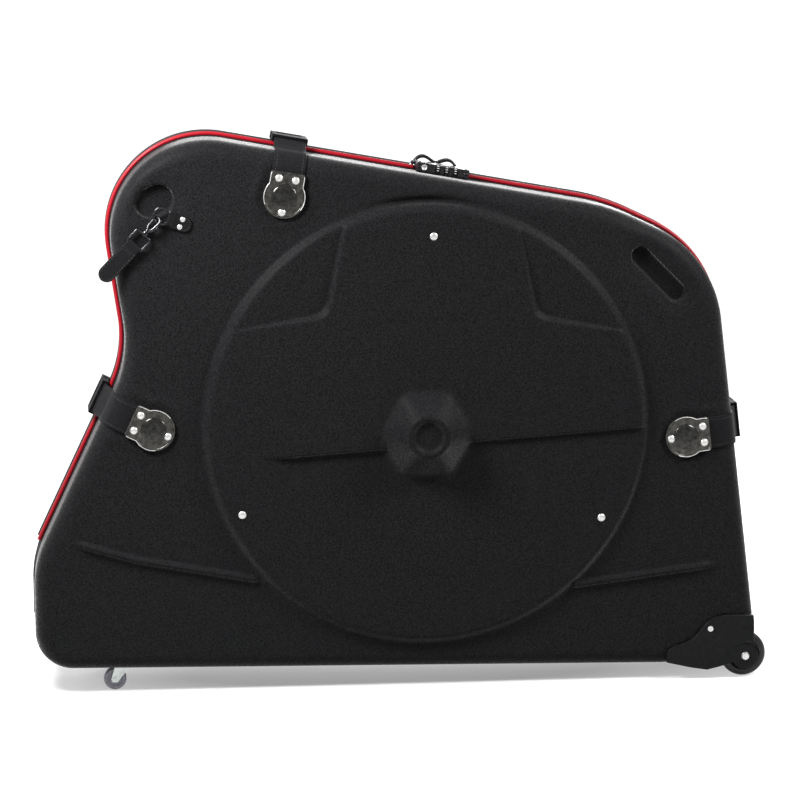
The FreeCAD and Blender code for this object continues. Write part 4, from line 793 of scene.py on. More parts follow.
def buckles():
    half, top = BUCKLE_WIDTH / 2, BUCKLE_LOW + BUCKLE_HEIGHT
    bar_low, bar_high = BUCKLE_MID - STRAP_ROOM, BUCKLE_MID + STRAP_ROOM
    prong_low, prong_high = BUCKLE_MID - PRONG_HALF, BUCKLE_MID + PRONG_HALF
    loop_end = TONGUE_START + TONGUE_LOOP
    low_wall, high_wall = BUCKLE_LOW + 0.3, top - 0.3
    for name, (place, _) in SETS.items():
        at = in_frame(place)
        tongue = Builder()
        tongue.block(at, (-half, loop_end - 1, BUCKLE_LOW), (half, TONGUE_END, top))
        tongue.block(at, (-half, TONGUE_START, BUCKLE_LOW), (half, loop_end, bar_low))
        tongue.block(at, (-half, TONGUE_START, bar_high), (half, loop_end, top))
        for side in (-1, 1):
            inner = side * (STRAP_WIDTH / 2 + 0.8)
            tongue.block(at, (side * half, TONGUE_START, BUCKLE_LOW + 0.4), (inner, loop_end, top - 0.4))
            outer, inner = side * (half - 3.5), side * (half - 12.5)
            tongue.block(at, (outer, TONGUE_END - 1, prong_low), (inner, TONGUE_END + 22, prong_high))
        tongue.block(at, (-7, TONGUE_END - 1, prong_low), (7, TONGUE_END + 18, prong_high))
        tongue.make(name + "_buckle_plug", "front_case", "buckle", name + "_buckle_tongue", GLOSS,
                    bevel=1.6)
        socket = Builder()
        socket.block(at, (-half, SOCKET_START, top - SOCKET_WALL), (half, SOCKET_END, top))
        socket.block(at, (-half, SOCKET_START, BUCKLE_LOW), (half, SOCKET_END, BUCKLE_LOW + SOCKET_WALL))
        for side in (-1, 1):
            outer, inner = side * half, side * (half - SOCKET_WALL)
            socket.block(at, (outer, SOCKET_START, low_wall), (inner, SOCKET_START + 6, high_wall))
            socket.block(at, (outer, SOCKET_END - 14, low_wall), (inner, SOCKET_END, high_wall))
        socket.block(at, (-half + 1, SOCKET_END - 11, low_wall), (half - 1, SOCKET_END - 8, high_wall))
        for k in range(4):
            y = SOCKET_START + 8 + 4 * k
            socket.block(at, (-half + 8, y, top - 0.6), (half - 8, y + 1.6, top + 0.7))
        socket.make(name + "_buckle_shell", "rear_case", "buckle", name + "_buckle_socket", GLOSS,
                    bevel=0.7)


# Piping, zip and hinge band

LOCK_PLACE = side_frame(CROWN, SHOULDER, 0, 68)
LOCK_HALF, LOCK_ROOM = 43, 0.5
PIPING_VISUAL_RADIUS = 3.5
TOP_EDGE_Z = 700


def along_lock(points):
    base, along, _ = LOCK_PLACE
    return (points[:, 0] - base[0]) * along[0] + (points[:, 1] - base[1]) * along[1]


def pipings():
    loop = open_loop(PIPING_OFFSET, PIPING_END_Z, 5)
    top = loop[:, 1] > TOP_EDGE_Z
    position = along_lock(loop)
    gap = LOCK_HALF + LOCK_ROOM
    left = (~top | (position < -gap)) & (loop[:, 0] < LOCK_PLACE[0][0])
    right = top & (position > gap) | ~top & (loop[:, 0] > 0)
    kinds = {"front": ([loop[left], loop[right]], "red_piping", RED),
             "rear": ([loop], "black_piping", BLACK_CLOTH)}
    for half, sign in HALVES.items():
        runs, slot_name, material = kinds[half]
        build = Builder()
        for run in runs:
            build.tube([(x, sign * PIPING_DEPTH, z) for x, z in run], PIPING_VISUAL_RADIUS, sides=14)
        build.make(half + "_piping_cord", half + "_case", slot_name, half + "_piping", material)


TOOTH_PITCH, TOOTH_HALF, TOOTH_SINK = 3.6, 0.95, 0.3


def zips():
    inner, outer = open_loop(LAY_GAP, ZIP_END_Z, 5), open_loop(LAY_GAP + TAPE_THICKNESS, ZIP_END_Z, 5)
    line = open_loop(LAY_GAP + TAPE_THICKNESS, ZIP_END_Z, 2)
    steps = np.hypot(*np.diff(line, axis=0).T)
    walked = np.concatenate([[0], np.cumsum(steps)])
    for half, sign in HALVES.items():
        build = Builder()
        edge = RIM_DEPTH + TAPE_WIDTH
        shift = 0 if half == "front" else TOOTH_PITCH / 2
        rings = []
        for a, b in zip(inner, outer):
            rings.append([(a[0], sign * HALF_GAP, a[1]), (b[0], sign * HALF_GAP, b[1]),
                          (b[0], sign * (edge - 0.6), b[1]),
                          ((a[0] + b[0]) / 2, sign * edge, (a[1] + b[1]) / 2),
                          (a[0], sign * (edge - 0.6), a[1])])
        build.rings(rings)
        for at in np.arange(4 + shift, walked[-1] - 4, TOOTH_PITCH):
            k = min(int(np.searchsorted(walked, at, "right")) - 1, len(line) - 2)
            along = (line[k + 1] - line[k]) / steps[k]
            base = line[k] + along * (at - walked[k])
            out = np.array([-along[1], along[0]])
            build.block(in_frame((base, along, out)), (-TOOTH_HALF, sign * HALF_GAP, -TOOTH_SINK),
                        (TOOTH_HALF, sign * (HALF_GAP + CHAIN_WIDTH),
                         CHAIN_HEIGHT - TAPE_THICKNESS - TOOTH_SINK), 1)
        build.make(half + "_zip_band", half + "_case", "zip", half + "_zip_tape", [BLACK_CLOTH, TEETH])


HINGE_LEFT, HINGE_RIGHT, HINGE_WIDTH, HINGE_THICKNESS = -520, 420, 38, 1.6


def hinge_leaves():
    """Woven leaves under the bottom edge, with a sewn line along each long side."""
    place = side_frame(LOW_RIGHT, LOW_LEFT, 0, (HINGE_LEFT + HINGE_RIGHT) / 2)
    half_length = (HINGE_RIGHT - HINGE_LEFT) / 2 / abs(place[1][0])
    for half, sign in HALVES.items():
        at = in_frame(place)
        build = Builder()
        columns = np.linspace(-half_length, half_length, 48)
        rings = []
        for u in columns:
            low, high = LAY_GAP, LAY_GAP + HINGE_THICKNESS
            middle = (low + high) / 2
            rings.append([at(u, sign * y, v) for y, v in [
                (HALF_GAP, low), (HALF_GAP, high), (12, high), (HINGE_WIDTH - 0.8, high),
                (HINGE_WIDTH, middle), (HINGE_WIDTH - 0.8, low), (12, low)]])
        build.rings(rings)
        for y in (15, HINGE_WIDTH - 4):
            stitches(build, [at(u, sign * y, LAY_GAP + HINGE_THICKNESS + 0.1) for u in columns], 1, 4, 3)
        build.make(half + "_hinge_webbing", half + "_case", "webbing", half + "_hinge_leaf",
                   [WEBBING, THREAD])


INNER_STRAP_HALF, INNER_STRAP_GAP = 55, 2.4
INNER_STRAP_PROFILE = [(-12.5, 0.9), (-11.5, 0), (11.5, 0), (12.5, 0.9), (11.5, 1.8), (-11.5, 1.8)]


def wheel_straps():
    """Webbing inside each half, held at its middle by a fastener of the disc."""
    for half, sign in HALVES.items():
        build = Builder()
        for x, z in WHEEL_SCREWS:
            depth = depth_at(x, z) - WALL - INNER_STRAP_GAP
            turn = math.atan2(z - HUB_Z, x - HUB_X) + math.pi / 2
            along = np.array([math.cos(turn), math.sin(turn)])
            at = in_frame(((x, z), along, (-along[1], along[0])))
            rings = []
            for u in np.linspace(-INNER_STRAP_HALF, INNER_STRAP_HALF, 16):
                sag = 1.0 - (u / INNER_STRAP_HALF) ** 2
                share = 0.9 + 0.1 * sag
                rings.append([at(u, sign * (depth - d * share), v) for v, d in INNER_STRAP_PROFILE])
            build.rings(rings)
        build.make(half + "_wheel_webbing", half + "_case", "webbing", half + "_wheel_straps", WEBBING)


# Lock, sliders and pulls, in a frame on the top edge

LOCK_LIFT, LOCK_TOP, LOCK_FRONT, LOCK_BACK = 1.6, 16.6, -50, -10
DIAL_Y, DIAL_Z, DIAL_RADIUS, DIAL_WIDTH = -45.5, 9.1, 6.5, 6
DIALS = [-8.5, 6, 20.5]
DIAL_BORE, TRIM_WIRE, LOCK_FOOT_BACK = 1.9, 0.7, -26.5
BUTTON_X, BUTTON_RADIUS, BUTTON_LENGTH, BUTTON_PROUD = -31, 5, 14, 2.5
BUTTON_PROFILE = [(BUTTON_RADIUS, 0), (BUTTON_RADIUS, -12), (BUTTON_RADIUS, -13),
                  (BUTTON_RADIUS - 0.5, -13.8), (BUTTON_RADIUS - 1.6, -BUTTON_LENGTH),
                  (BUTTON_RADIUS - 2.4, -13.5), (0, -13.4)]
SLIDER_X = {"left": -45, "right": 28}
SLIDER_LOW, SLIDER_TOP, SLIDER_HALF, PIN_Z = 3.6, 7.6, 7.2, 11.2
SLIDER_SIDE = [(-10.6, SLIDER_LOW), (-10.8, SLIDER_LOW + 1.0), (-5, SLIDER_TOP - 1), (-2.5, SLIDER_TOP)]
SLIDER_PROFILE = SLIDER_SIDE + [(-u, v) for u, v in SLIDER_SIDE[::-1]]
LOOP_RADII = [1.2, 2, 2.4, 2.5, 2.5, 2.5, 2.4, 2, 1.2]
PULL_PATH = [(0, 0), (3.5, 5.5), (8.5, 10.5), (15, 13), (22.5, 11.5), (28.5, 8), (32, 6.8)]
PULL_HALF, PULL_WIRE, PULL_ROOT, PULL_TAPER = 5.2, 2.6, 1.4, 11
PULL_EYE = [(1.5, -1.6), (2.9, -1.6), (3.1, -0.8)]


def lock():
    at = in_frame(LOCK_PLACE)
    body = Builder()
    slot = DIAL_WIDTH / 2 + 0.5
    edges = [-LOCK_HALF] + [x + s * slot for x in DIALS for s in (-1, 1)] + [LOCK_HALF]
    back = DIAL_Y + DIAL_RADIUS + 0.6
    body.block(at, (-LOCK_HALF, back - 0.5, LOCK_LIFT), (LOCK_HALF, LOCK_BACK, LOCK_TOP))
    body.block(at, (-LOCK_HALF, LOCK_FRONT + 1, 0.2), (LOCK_HALF, LOCK_FOOT_BACK, LOCK_LIFT + 0.8))
    for low, high in zip(edges[::2], edges[1::2]):
        body.block(at, (low, LOCK_FRONT, LOCK_LIFT), (high, back, LOCK_TOP))
    body.make("lock_case", "front_case", "lock", "lock_body", LOCK_METAL, bevel=1.1)
    trim = Builder()
    columns = np.linspace(-LOCK_HALF + 2, LOCK_HALF - 2, 12)
    for v in (LOCK_TOP - 3.2, LOCK_LIFT + 2.6):
        trim.tube([at(u, LOCK_FRONT + 0.4, v) for u in columns], TRIM_WIRE, sides=8)
    up = at(0, 0, 1) - at(0, 0, 0)
    for u in (-LOCK_HALF + 5, LOCK_HALF - 5):
        trim.lathe(dome_profile(2.6, 1.4), at(u, LOCK_FRONT + 0.2, DIAL_Z), (0, -1, 0), steps=18)
        trim.lathe(dome_profile(2.2, 1.2), at(u, LOCK_FRONT + 12, LOCK_TOP - 0.2), up, steps=18)
    trim.make("lock_trim", "front_case", "lock", None, NICKEL)


def dials_and_button():
    at = in_frame(LOCK_PLACE)
    axis = at(1, 0, 0) - at(0, 0, 0)
    half = DIAL_WIDTH / 2
    side = [(DIAL_BORE, -half), (DIAL_RADIUS - 0.8, -half), (DIAL_RADIUS - 0.2, -half + 0.6)]
    for number, x in enumerate(DIALS, start=1):
        dial = Builder()
        dial.lathe(mirrored(side), at(x, DIAL_Y, DIAL_Z), axis, steps=30)
        for y, v in arc(DIAL_Y, DIAL_Z, DIAL_RADIUS - 0.3, 14, 374, 11)[:-1]:
            dial.tube([at(x + u, y, v) for u in (-1.9, 0, 1.9)], [0.35, 0.75, 0.35], 1, sides=8)
        name = "dial_%d" % number
        dial.make(name + "_ring", name, "dial", "lock_" + name, [NICKEL, PALE])
    button = Builder()
    centre = at(BUTTON_X, LOCK_FRONT - BUTTON_PROUD + BUTTON_LENGTH, DIAL_Z)
    button.lathe(BUTTON_PROFILE, centre, (0, 1, 0), steps=26)
    button.make("lock_push", "button", "dial", "lock_button", SILVER)


def slider_body(name, at, x):
    build = Builder()
    rings = []
    for y in np.linspace(-SLIDER_HALF, SLIDER_HALF, 9):
        pinch = 1 - 0.16 * (y / SLIDER_HALF) ** 4
        rings.append([at(x + u * pinch, y, SLIDER_LOW + (v - SLIDER_LOW) * pinch) for u, v in SLIDER_PROFILE])
    build.rings(rings)
    build.tube([at(x, y, PIN_Z) for y in np.linspace(-2, 2, len(LOOP_RADII))], LOOP_RADII, sides=12)
    build.tube([at(x, 0, SLIDER_TOP - 0.6), at(x, 0, PIN_Z)], 1.9, sides=10)
    build.tube([at(x, -6.4, PIN_Z), at(x, 6.4, PIN_Z)], 1.15, sides=10)
    build.make(name + "_slider_body", name + "_slider", "black_nickel", name + "_zip_slider", NICKEL,
               bevel=0.4)


def pull_loop(name, side, at, x):
    """A wire loop that is thinner at its pin, with an eye at each end and a bar across its middle."""
    pull = Builder()
    path = fine_path([(x - side * u, PIN_Z + v) for u, v in PULL_PATH], 26)
    loop = [at(u, -PULL_HALF, v) for u, v in path]
    end_u, end_v = path[-1]
    for across, ahead in arc(0, 0, 1, 0, 180, 7)[1:-1]:
        loop.append(at(end_u - side * 2.2 * ahead, -PULL_HALF * across, end_v - 0.3 * ahead))
    loop += [at(u, PULL_HALF, v) for u, v in path[::-1]]
    last = len(loop) - 1
    grown = [min(1, k / PULL_TAPER, (last - k) / PULL_TAPER) for k in range(len(loop))]
    pull.tube(loop, [PULL_ROOT + (PULL_WIRE - PULL_ROOT) * g for g in grown], sides=12)
    for y in (-PULL_HALF, PULL_HALF):
        pull.lathe(mirrored(PULL_EYE), at(x, y * 0.86, PIN_Z), (0, 1, 0), steps=20)
    mid_u, mid_v = path[len(path) // 2]
    pull.tube([at(mid_u, y, mid_v) for y in np.linspace(-PULL_HALF, PULL_HALF, 7)], 1.5, sides=10)
    pull.make(name + "_pull_loop", name + "_pull", "black_nickel", name + "_zip_pull", NICKEL)


def sliders():
    at = in_frame(LOCK_PLACE)
    for side, name in ((-1, "left"), (1, "right")):
        slider_body(name, at, SLIDER_X[name])
        pull_loop(name, side, at, SLIDER_X[name])


def fine_path(points, count):
    """A smooth run through a few points."""
    points = np.array(points, float)
    walked = np.concatenate([[0], np.cumsum(np.hypot(*np.diff(points, axis=0).T))])
    dense = np.linspace(0, walked[-1], count)
    rough = np.column_stack([np.interp(dense, walked, points[:, k]) for k in range(points.shape[1])])
    for _ in range(6):
        rough[1:-1] = (rough[:-2] + 2 * rough[1:-1] + rough[2:]) / 4
    return rough


# Ring tab, ring, hook and tow strap

RING_RADIUS, RING_WIRE, RING_OFFSET = 13, 2.3, 30
RING_DEPTH = FACE_DEPTH + 7.2
TAB_HALF, TAB_ROUND, TAB_TIP, TAB_NARROW, TAB_LAYER, TAB_STITCH = 13.0, -7, 16, 0.72, 1.8, 10.2
RING_CENTRE = TAB_CENTRE + TAB_ALONG * RING_OFFSET
HOOK_ANGLE, HOOK_LEAN, HOOK_HALF = math.radians(226), 38, 6.0
HOOK_ALONG = np.array([math.cos(HOOK_ANGLE), math.sin(HOOK_ANGLE)])
HOOK_ACROSS = np.array([-HOOK_ALONG[1], HOOK_ALONG[0]])
SWIVEL_START, SWIVEL_END, SWIVEL_HALF, SWIVEL_WIRE = 42.6, 66.6, 14, 2.3
SWIVEL_PROFILE = [(0, 0), (4.2, 0), (5.0, 1), (5.0, 3), (3.8, 4), (3.8, 5.5), (5.6, 6.2), (5.8, 8),
                  (5.6, 9.8), (4.0, 10.6), (3.2, 12.8), (0, 12.8)]
TOW_LENGTH, TOW_WIDTH, TOW_THICKNESS, TOW_LOOP, TOW_STITCH = 62, 27, 5, 4, 2.6


def ring_tabs():
    for half, sign in HALVES.items():
        build = Builder()

        def at(u, depth, v):
            x, z = TAB_CENTRE + TAB_ALONG * u + TAB_ACROSS * v
            return np.array([x, sign * depth, z])

        end = RING_OFFSET - RING_RADIUS
        low = STRAP_DEPTH
        roll = RING_WIRE + 1.0
        path = [(u, low + 0.9) for u in (-19.5, -18, -15, -11, -6, 0, 6, end - 6)]
        path += [(end - 2, low + 1.6), (end + roll * 0.8, RING_DEPTH - roll * 0.7)]
        path += arc(end, RING_DEPTH, roll, -30, 140, 9)
        path += [(end - 7, low + 4.4), (4, low + 2.9), (-6, low + 2.7), (-11, low + 2.7), (-15, low + 2.6),
                 (-18, low + 2.5), (-19.5, low + 2.4)]
        widths = []
        for u, _ in path:
            reach = max(TAB_ROUND - u, 0)
            wide = 2 * math.sqrt(max(TAB_HALF ** 2 - reach ** 2, TAB_TIP))
            widths.append(wide * (TAB_NARROW if u > end - 5 else 1.0))
        ribbon(build, lambda s, u, depth: at(u, depth, s), path, widths, TAB_LAYER)
        top = low + TAB_THICKNESS
        line = [at(u, top + 0.15, v) for u, v in arc(TAB_ROUND, 0, TAB_STITCH, 90, 270, 17)]
        line = [at(6, top + 0.3, TAB_STITCH)] + line + [at(6, top + 0.3, -TAB_STITCH)]
        stitches(build, line, 1, 2.4, 1.8, 0.4)
        build.make(half + "_leather_tab", half + "_case", "strap", half + "_ring_tab", [PATENT, THREAD])
        ring = Builder()
        path = [(x, sign * RING_DEPTH, z) for x, z in arc(*RING_CENTRE, RING_RADIUS, 0, 360, 49)[:-1]]
        ring.tube(path, RING_WIRE, sides=14, closed=True)
        ring.make(half + "_tow_ring", half + "_case", "black_nickel", half + "_ring", NICKEL)


def hook_at(u, depth, v):
    x, z = RING_CENTRE + HOOK_ALONG * u + HOOK_ACROSS * v
    return np.array([x, -depth, z])


def hook_and_swivel():
    hook = Builder()
    lean = math.radians(HOOK_LEAN)
    wide = HOOK_HALF
    loop = arc(RING_RADIUS - 1, 0, wide, 90, 270, 13)
    loop += [(u, -wide) for u in (16, 20, 24)] + [(28, -4.5), (31, -2)]
    start = [(31, 2), (28, 4.5), (24, wide), (20, wide), (16, wide)]
    trigger = [(17, wide + 3.2), (21, wide + 3.6)]
    radii = [3.6, 3.8, 3.7, 3.4, 3.0] + [2.7] * len(loop)
    for run, wires, sides in ((start + loop, radii, 12), (trigger, [1.4, 2.2], 10)):
        leaning = [hook_at(u, RING_DEPTH + w * math.sin(lean), w * math.cos(lean)) for u, w in run]
        hook.tube(leaning, wires, sides=sides)
    along = hook_at(1, 0, 0) - hook_at(0, 0, 0)
    hook.lathe(SWIVEL_PROFILE, hook_at(30, RING_DEPTH, 0), along, steps=24)
    corner = 4
    near_end, far_end, side = SWIVEL_START + corner, SWIVEL_END - corner, SWIVEL_HALF - corner
    bends = [(far_end, side, 0), (near_end, side, 90), (near_end, -side, 180), (far_end, -side, 270)]
    frame_path = []
    for u, v, first in bends:
        frame_path += arc(u - 2, v, corner, first, first + 90, 6)
    hook.tube([hook_at(u, RING_DEPTH, v) for u, v in frame_path], SWIVEL_WIRE, sides=12, closed=True)
    hook.make("hook_and_swivel", "tow", "black_nickel", "snap_hook", NICKEL)


def tow_strap():
    """Doubled leather: a loop round the swivel's bar, two layers with a round end, and their stitches."""
    strap = Builder()
    bar, half, layer = SWIVEL_END - 2, TOW_WIDTH / 2, TOW_THICKNESS / 2
    loop = [(bar + 12, RING_DEPTH + 1.2), (bar + 6, RING_DEPTH + 3)]
    loop += arc(bar, RING_DEPTH, TOW_LOOP, 50, 310, 9)
    loop += [(bar + 6, RING_DEPTH - 3), (bar + 12, RING_DEPTH - 1.2)]
    tow_layer(strap, loop, [half - 1.4] * len(loop), layer)
    tip = arc(0, 0, half, 0, 90, 10)
    runs = [7, 14, 26, 40, 52] + [TOW_LENGTH + ahead for _, ahead in tip]
    widths = [half] * 5 + [max(across, 1.5) for across, _ in tip]
    for depth in (RING_DEPTH + layer / 2, RING_DEPTH - layer / 2):
        tow_layer(strap, [(bar + u, depth) for u in runs], widths, layer - 0.1)
    top = RING_DEPTH + layer + 0.05
    inner = half - TOW_STITCH
    line = [(bar + u, inner) for u in (9, 24, 40, 54)]
    line += arc(bar + TOW_LENGTH, 0, inner, 90, -90, 13)
    line += [(bar + u, -inner) for u in (54, 40, 24, 9)]
    stitches(strap, [hook_at(u, top, v) for u, v in line], 1)
    rows = np.linspace(-half + 4, half - 4, 6)
    for u in (bar + 11, bar + 14):
        stitches(strap, [hook_at(u, top + 0.1, v) for v in rows], 1, 2.4, 1.6)
    strap.make("tow_leather", "tow", "strap", "tow_strap", [PATENT, THREAD])


def tow_layer(build, path, widths, thickness):
    """One layer of the tow strap along (u, depth) points, with its half width at each point."""
    ribbon(build, lambda s, u, depth: hook_at(u, depth, s), path, [2 * half for half in widths], thickness)


# Fixed wheels and their housings

WHEEL_X, WHEEL_DEPTH, WHEEL_RADIUS, WHEEL_WIDTH, WHEEL_CORE = 569, 85, 38, 24, 25
HOUSING_LOW = [(545, 27), (538, 24), (521, 19.5), (505, 16), (480, 20), (458, 25)]
HOUSING_SCREWS = [(509.5, 86)]
HOUSING_END = [(583, 98), (583.5, 84), (583, 70)]
HOUSING_PLATE = HOUSING_EDGE + [(585, 88), (590, 60), (592, 40), (580, 27), (545, 21), (505, 18)]
HOUSING_PROFILE = [(3.2, -WALL), (0.4, -WALL), (0, -WALL + 0.5), (0, -1.6), (0.35, -0.7), (1.1, -0.1),
                   (2.0, 0.0), (3.2, -0.35)]
HOUSING_PLATE_THICKNESS = 3
SCREW_PROFILE = [(4.9, -0.4), (4.9, 0.5), (4.5, 1.2), (3.6, 1.5), (1.8, 1.5), (1.5, 0.8), (0, 0.8)]
BASE_SCREW_PROFILE = [(4, 0), (3.9, 0.5), (3, 1.4), (1.5, 1.6), (1.2, 1.1), (0, 1.1)]
BASE_SCREW_PITCH, BASE_SCREW_DROP = 31, 2.6
AXLE_BOSS, ARCH_RADIUS = 22, 24.5


def housing_outline(inset):
    """The housing's outline moved inwards: upper edge, the round nose over the axle, then the lower edge."""
    nose = arc(WHEEL_X, WHEEL_RADIUS, AXLE_BOSS, 44, -152, 25)
    points = np.array(HOUSING_EDGE + HOUSING_END + nose + HOUSING_LOW, float)
    moved = []
    count = len(points)
    for k in range(count):
        along = points[(k + 1) % count] - points[k - 1]
        along = along / np.linalg.norm(along)
        moved.append(points[k] + inset * np.array([along[1], -along[0]]))
    return moved


def housings():
    for half, sign in HALVES.items():
        build = Builder()
        rings = []
        for inset, rise in HOUSING_PROFILE:
            rings.append([(x, sign * (HOUSING_FRONT + rise), z) for x, z in housing_outline(inset)])
        build.rings(rings, caps=False)
        for ring in (rings[-1], rings[0]):
            build.add(ring, [tuple(range(len(ring)))])
        outer_edge, inner_edge = housing_outline(0.2), housing_outline(3.4)
        near, far = sign * (HOUSING_FRONT - WALL + 0.2), sign * (HOUSING_BACK + 0.3)
        for k in range(len(HOUSING_EDGE) - 1):
            base = (outer_edge[k], outer_edge[k + 1], inner_edge[k + 1], inner_edge[k])
            corners = [(x, y, z) for y in (near, far) for x, z in base]
            build.add(corners, [(0, 1, 5, 4), (3, 7, 6, 2), (0, 3, 2, 1), (4, 5, 6, 7), (0, 4, 7, 3),
                                (1, 2, 6, 5)])
        levels = (HOUSING_BACK + HOUSING_PLATE_THICKNESS, HOUSING_BACK)
        build.rings([[(x, sign * depth, z) for x, z in HOUSING_PLATE] for depth in levels])
        arch = arc(WHEEL_X, WHEEL_RADIUS, ARCH_RADIUS, 150, 0, 25)
        taper = [0.2 + 1.7 * math.sin(math.pi * k / 24) for k in range(25)]
        build.tube([(x, sign * (HOUSING_FRONT - 0.3), z) for x, z in arch], taper, sides=10)
        build.make(half + "_housing_cover", half + "_case", "housing", half + "_wheel_housing", HOUSING,
                   sharp=40)
        screws = Builder()
        for x, z in HOUSING_SCREWS:
            screws.lathe(SCREW_PROFILE, (x, sign * (HOUSING_FRONT - 0.4), z), (0, sign, 0), steps=24)
        for x in (-BASE_SCREW_PITCH / 2, BASE_SCREW_PITCH / 2):
            for y in (-BASE_SCREW_PITCH / 2, BASE_SCREW_PITCH / 2):
                centre = (CASTOR_X + x, sign * (CASTOR_DEPTH + y), CASTOR_PAD - BASE_SCREW_DROP)
                screws.lathe(BASE_SCREW_PROFILE, centre, (0, 0, -1), steps=18)
        screws.make(half + "_screw_heads", half + "_case", "rivet", half + "_base_screws", SILVER)


SPOKES, SPOKE_TURN, HUB_INSET = 6, 18, 1.5


def fixed_wheels():
    axis = (0, 1, 0)
    w, r, core = WHEEL_WIDTH / 2, WHEEL_RADIUS, WHEEL_CORE
    h = w - HUB_INSET
    tread = [(core, -w + 1.5), (core + 1, -w + 0.4), (core + 3.5, -w), (r - 6.5, -w + 0.6),
             (r - 4, -w + 1.8), (r - 1.8, -w + 4), (r - 0.4, -w + 6.6), (r, -w + 9)]
    rim = [(core - 0.1, -h), (core - 2.6, -h - 0.3), (core - 3.4, -h + 0.6), (core - 4, -h + 4)]
    seat = [(11.2, -h), (13.4, -h - 0.4), (14.6, -h + 0.6), (14.8, -h + 3)]
    spoke = [(-1, -h + 2), (-0.7, -h + 1), (0.7, -h + 1), (1, -h + 2), (1, h - 2), (0.7, h - 1),
             (-0.7, h - 1), (-1, h - 2)]
    for half, sign in HALVES.items():
        centre = np.array([WHEEL_X, sign * WHEEL_DEPTH, WHEEL_RADIUS])
        tyre = Builder()
        tyre.lathe(mirrored(tread), centre, axis, steps=64)
        tyre.make(half + "_rolling_tyre", half + "_wheel", "tyre", half + "_wheel_tyre", TYRE, sharp=50)
        hub = Builder()
        hub.lathe(mirrored(rim), centre, axis, steps=56)
        hub.lathe(mirrored(seat), centre, axis, steps=40)
        for u, v in arc(0, 0, 1, SPOKE_TURN, SPOKE_TURN + 360, SPOKES + 1)[:-1]:
            along, across = np.array([u, 0, v]), np.array([-v, 0, u])
            rings = []
            for radius, half_width in ((14, 3.0), (core - 3.4, 4.0)):
                middle = centre + along * radius
                rings.append([middle + across * s * half_width + np.array([0, y, 0]) for s, y in spoke])
            hub.rings(rings)
        hub.make(half + "_spoked_hub", half + "_wheel", "hub", half + "_wheel_hub", GLOSS, sharp=45)


CASTOR_X, CASTOR_DEPTH, CASTOR_PAD = -458, 70, 51
CASTOR_TRAIL, CASTOR_RADIUS, CASTOR_WIDTH, CASTOR_ROOM = 13, 19.5, 16, 1.1


def castors():
    """Castor wheels with a rounded tread; their forks and plates are the solids themselves."""
    for half, sign in HALVES.items():
        axle = np.array([CASTOR_X - CASTOR_TRAIL, sign * CASTOR_DEPTH, CASTOR_RADIUS])
        w, r = CASTOR_WIDTH / 2, CASTOR_RADIUS - CASTOR_ROOM
        roller = Builder()
        side = [(3.6, -w - 0.4), (6, -w - 0.4), (7, -w + 1.2), (r - 7, -w + 1.4), (r - 5.6, -w + 0.2),
                (r - 3.4, -w), (r - 1.4, -w + 0.8), (r - 0.3, -w + 2.6), (r, -w + 5)]
        roller.lathe(mirrored(side), axle, (0, 1, 0), steps=48)
        roller.make(half + "_castor_tread", half + "_castor_roller", "castor_tyre", half + "_castor_wheel",
                    CASTOR_TYRE, sharp=50)


# Materials

# The noise is turned so that no flat face lies along its lattice
NOISE_TURN, NOISE_DETAIL, NOISE_ROUGHNESS = (0.5, 0.35, 0.8), 3.0, 0.6
DARK_AT, LIGHT_AT = 0.3, 0.7
FUZZ_LOW, FUZZ_HIGH, FUZZ_ROUGHNESS = 0.35, 1.65, 0.33
GLOSS_LOW, GLOSS_HIGH = 0.8, 1.25
METAL_SPECULAR = 0.5


def set_inputs(node, values):
    for name, value in values.items():
        node.inputs[name].default_value = value


def add_node(tree, kind, links=None, values=None, operation=None):
    """A new node with inputs linked to other nodes' outputs or set to plain values."""
    node = tree.nodes.new(kind)
    if operation:
        node.operation = operation
    set_inputs(node, values or {})
    for name, output in (links or {}).items():
        tree.links.new(output, node.inputs[name])
    return node


def node_material(name):
    material = bpy.data.materials.new(name)
    material.use_nodes = True
    tree = material.node_tree
    return material, tree, tree.nodes["Principled BSDF"]


def mottled(name, dark, light, scale, strength, bump):
    """A material that wavers between two colours, with a fine grain; its noise is handed on."""
    material, tree, shader = node_material(name)
    place = add_node(tree, "ShaderNodeTexCoord")
    turn = add_node(tree, "ShaderNodeMapping", {"Vector": place.outputs["Object"]},
                    {"Rotation": NOISE_TURN})
    noise = add_node(tree, "ShaderNodeTexNoise", {"Vector": turn.outputs["Vector"]},
                     {"Scale": scale, "Detail": NOISE_DETAIL, "Roughness": NOISE_ROUGHNESS}).outputs["Fac"]
    colours = add_node(tree, "ShaderNodeValToRGB", {"Fac": noise})
    for stop, at, colour in zip(colours.color_ramp.elements, (DARK_AT, LIGHT_AT), (dark, light)):
        stop.position = at
        stop.color = (*colour, 1)
    tree.links.new(colours.outputs["Color"], shader.inputs["Base Color"])
    grain = add_node(tree, "ShaderNodeBump", {"Height": noise}, {"Strength": strength, "Distance": bump})
    tree.links.new(grain.outputs["Normal"], shader.inputs["Normal"])
    return material, tree, shader, noise


def cloth(name, dark, light, roughness, grain=700, bump=0.00025, specular=0.3, sheen=0.0):
    """Fine cloth: speckled colour and a grain that breaks up the light."""
    material, tree, shader, noise = mottled(name, dark, light, grain, 0.6, bump)
    set_inputs(shader, {"Roughness": roughness, "Specular IOR Level": specular,
                        "Sheen Roughness": FUZZ_ROUGHNESS})
    if sheen:
        levels = {"From Min": 0.4, "From Max": 0.6, "To Min": sheen * FUZZ_LOW, "To Max": sheen * FUZZ_HIGH}
        fuzz = add_node(tree, "ShaderNodeMapRange", {"Value": noise}, levels)
        tree.links.new(fuzz.outputs["Result"], shader.inputs["Sheen Weight"])
    return material


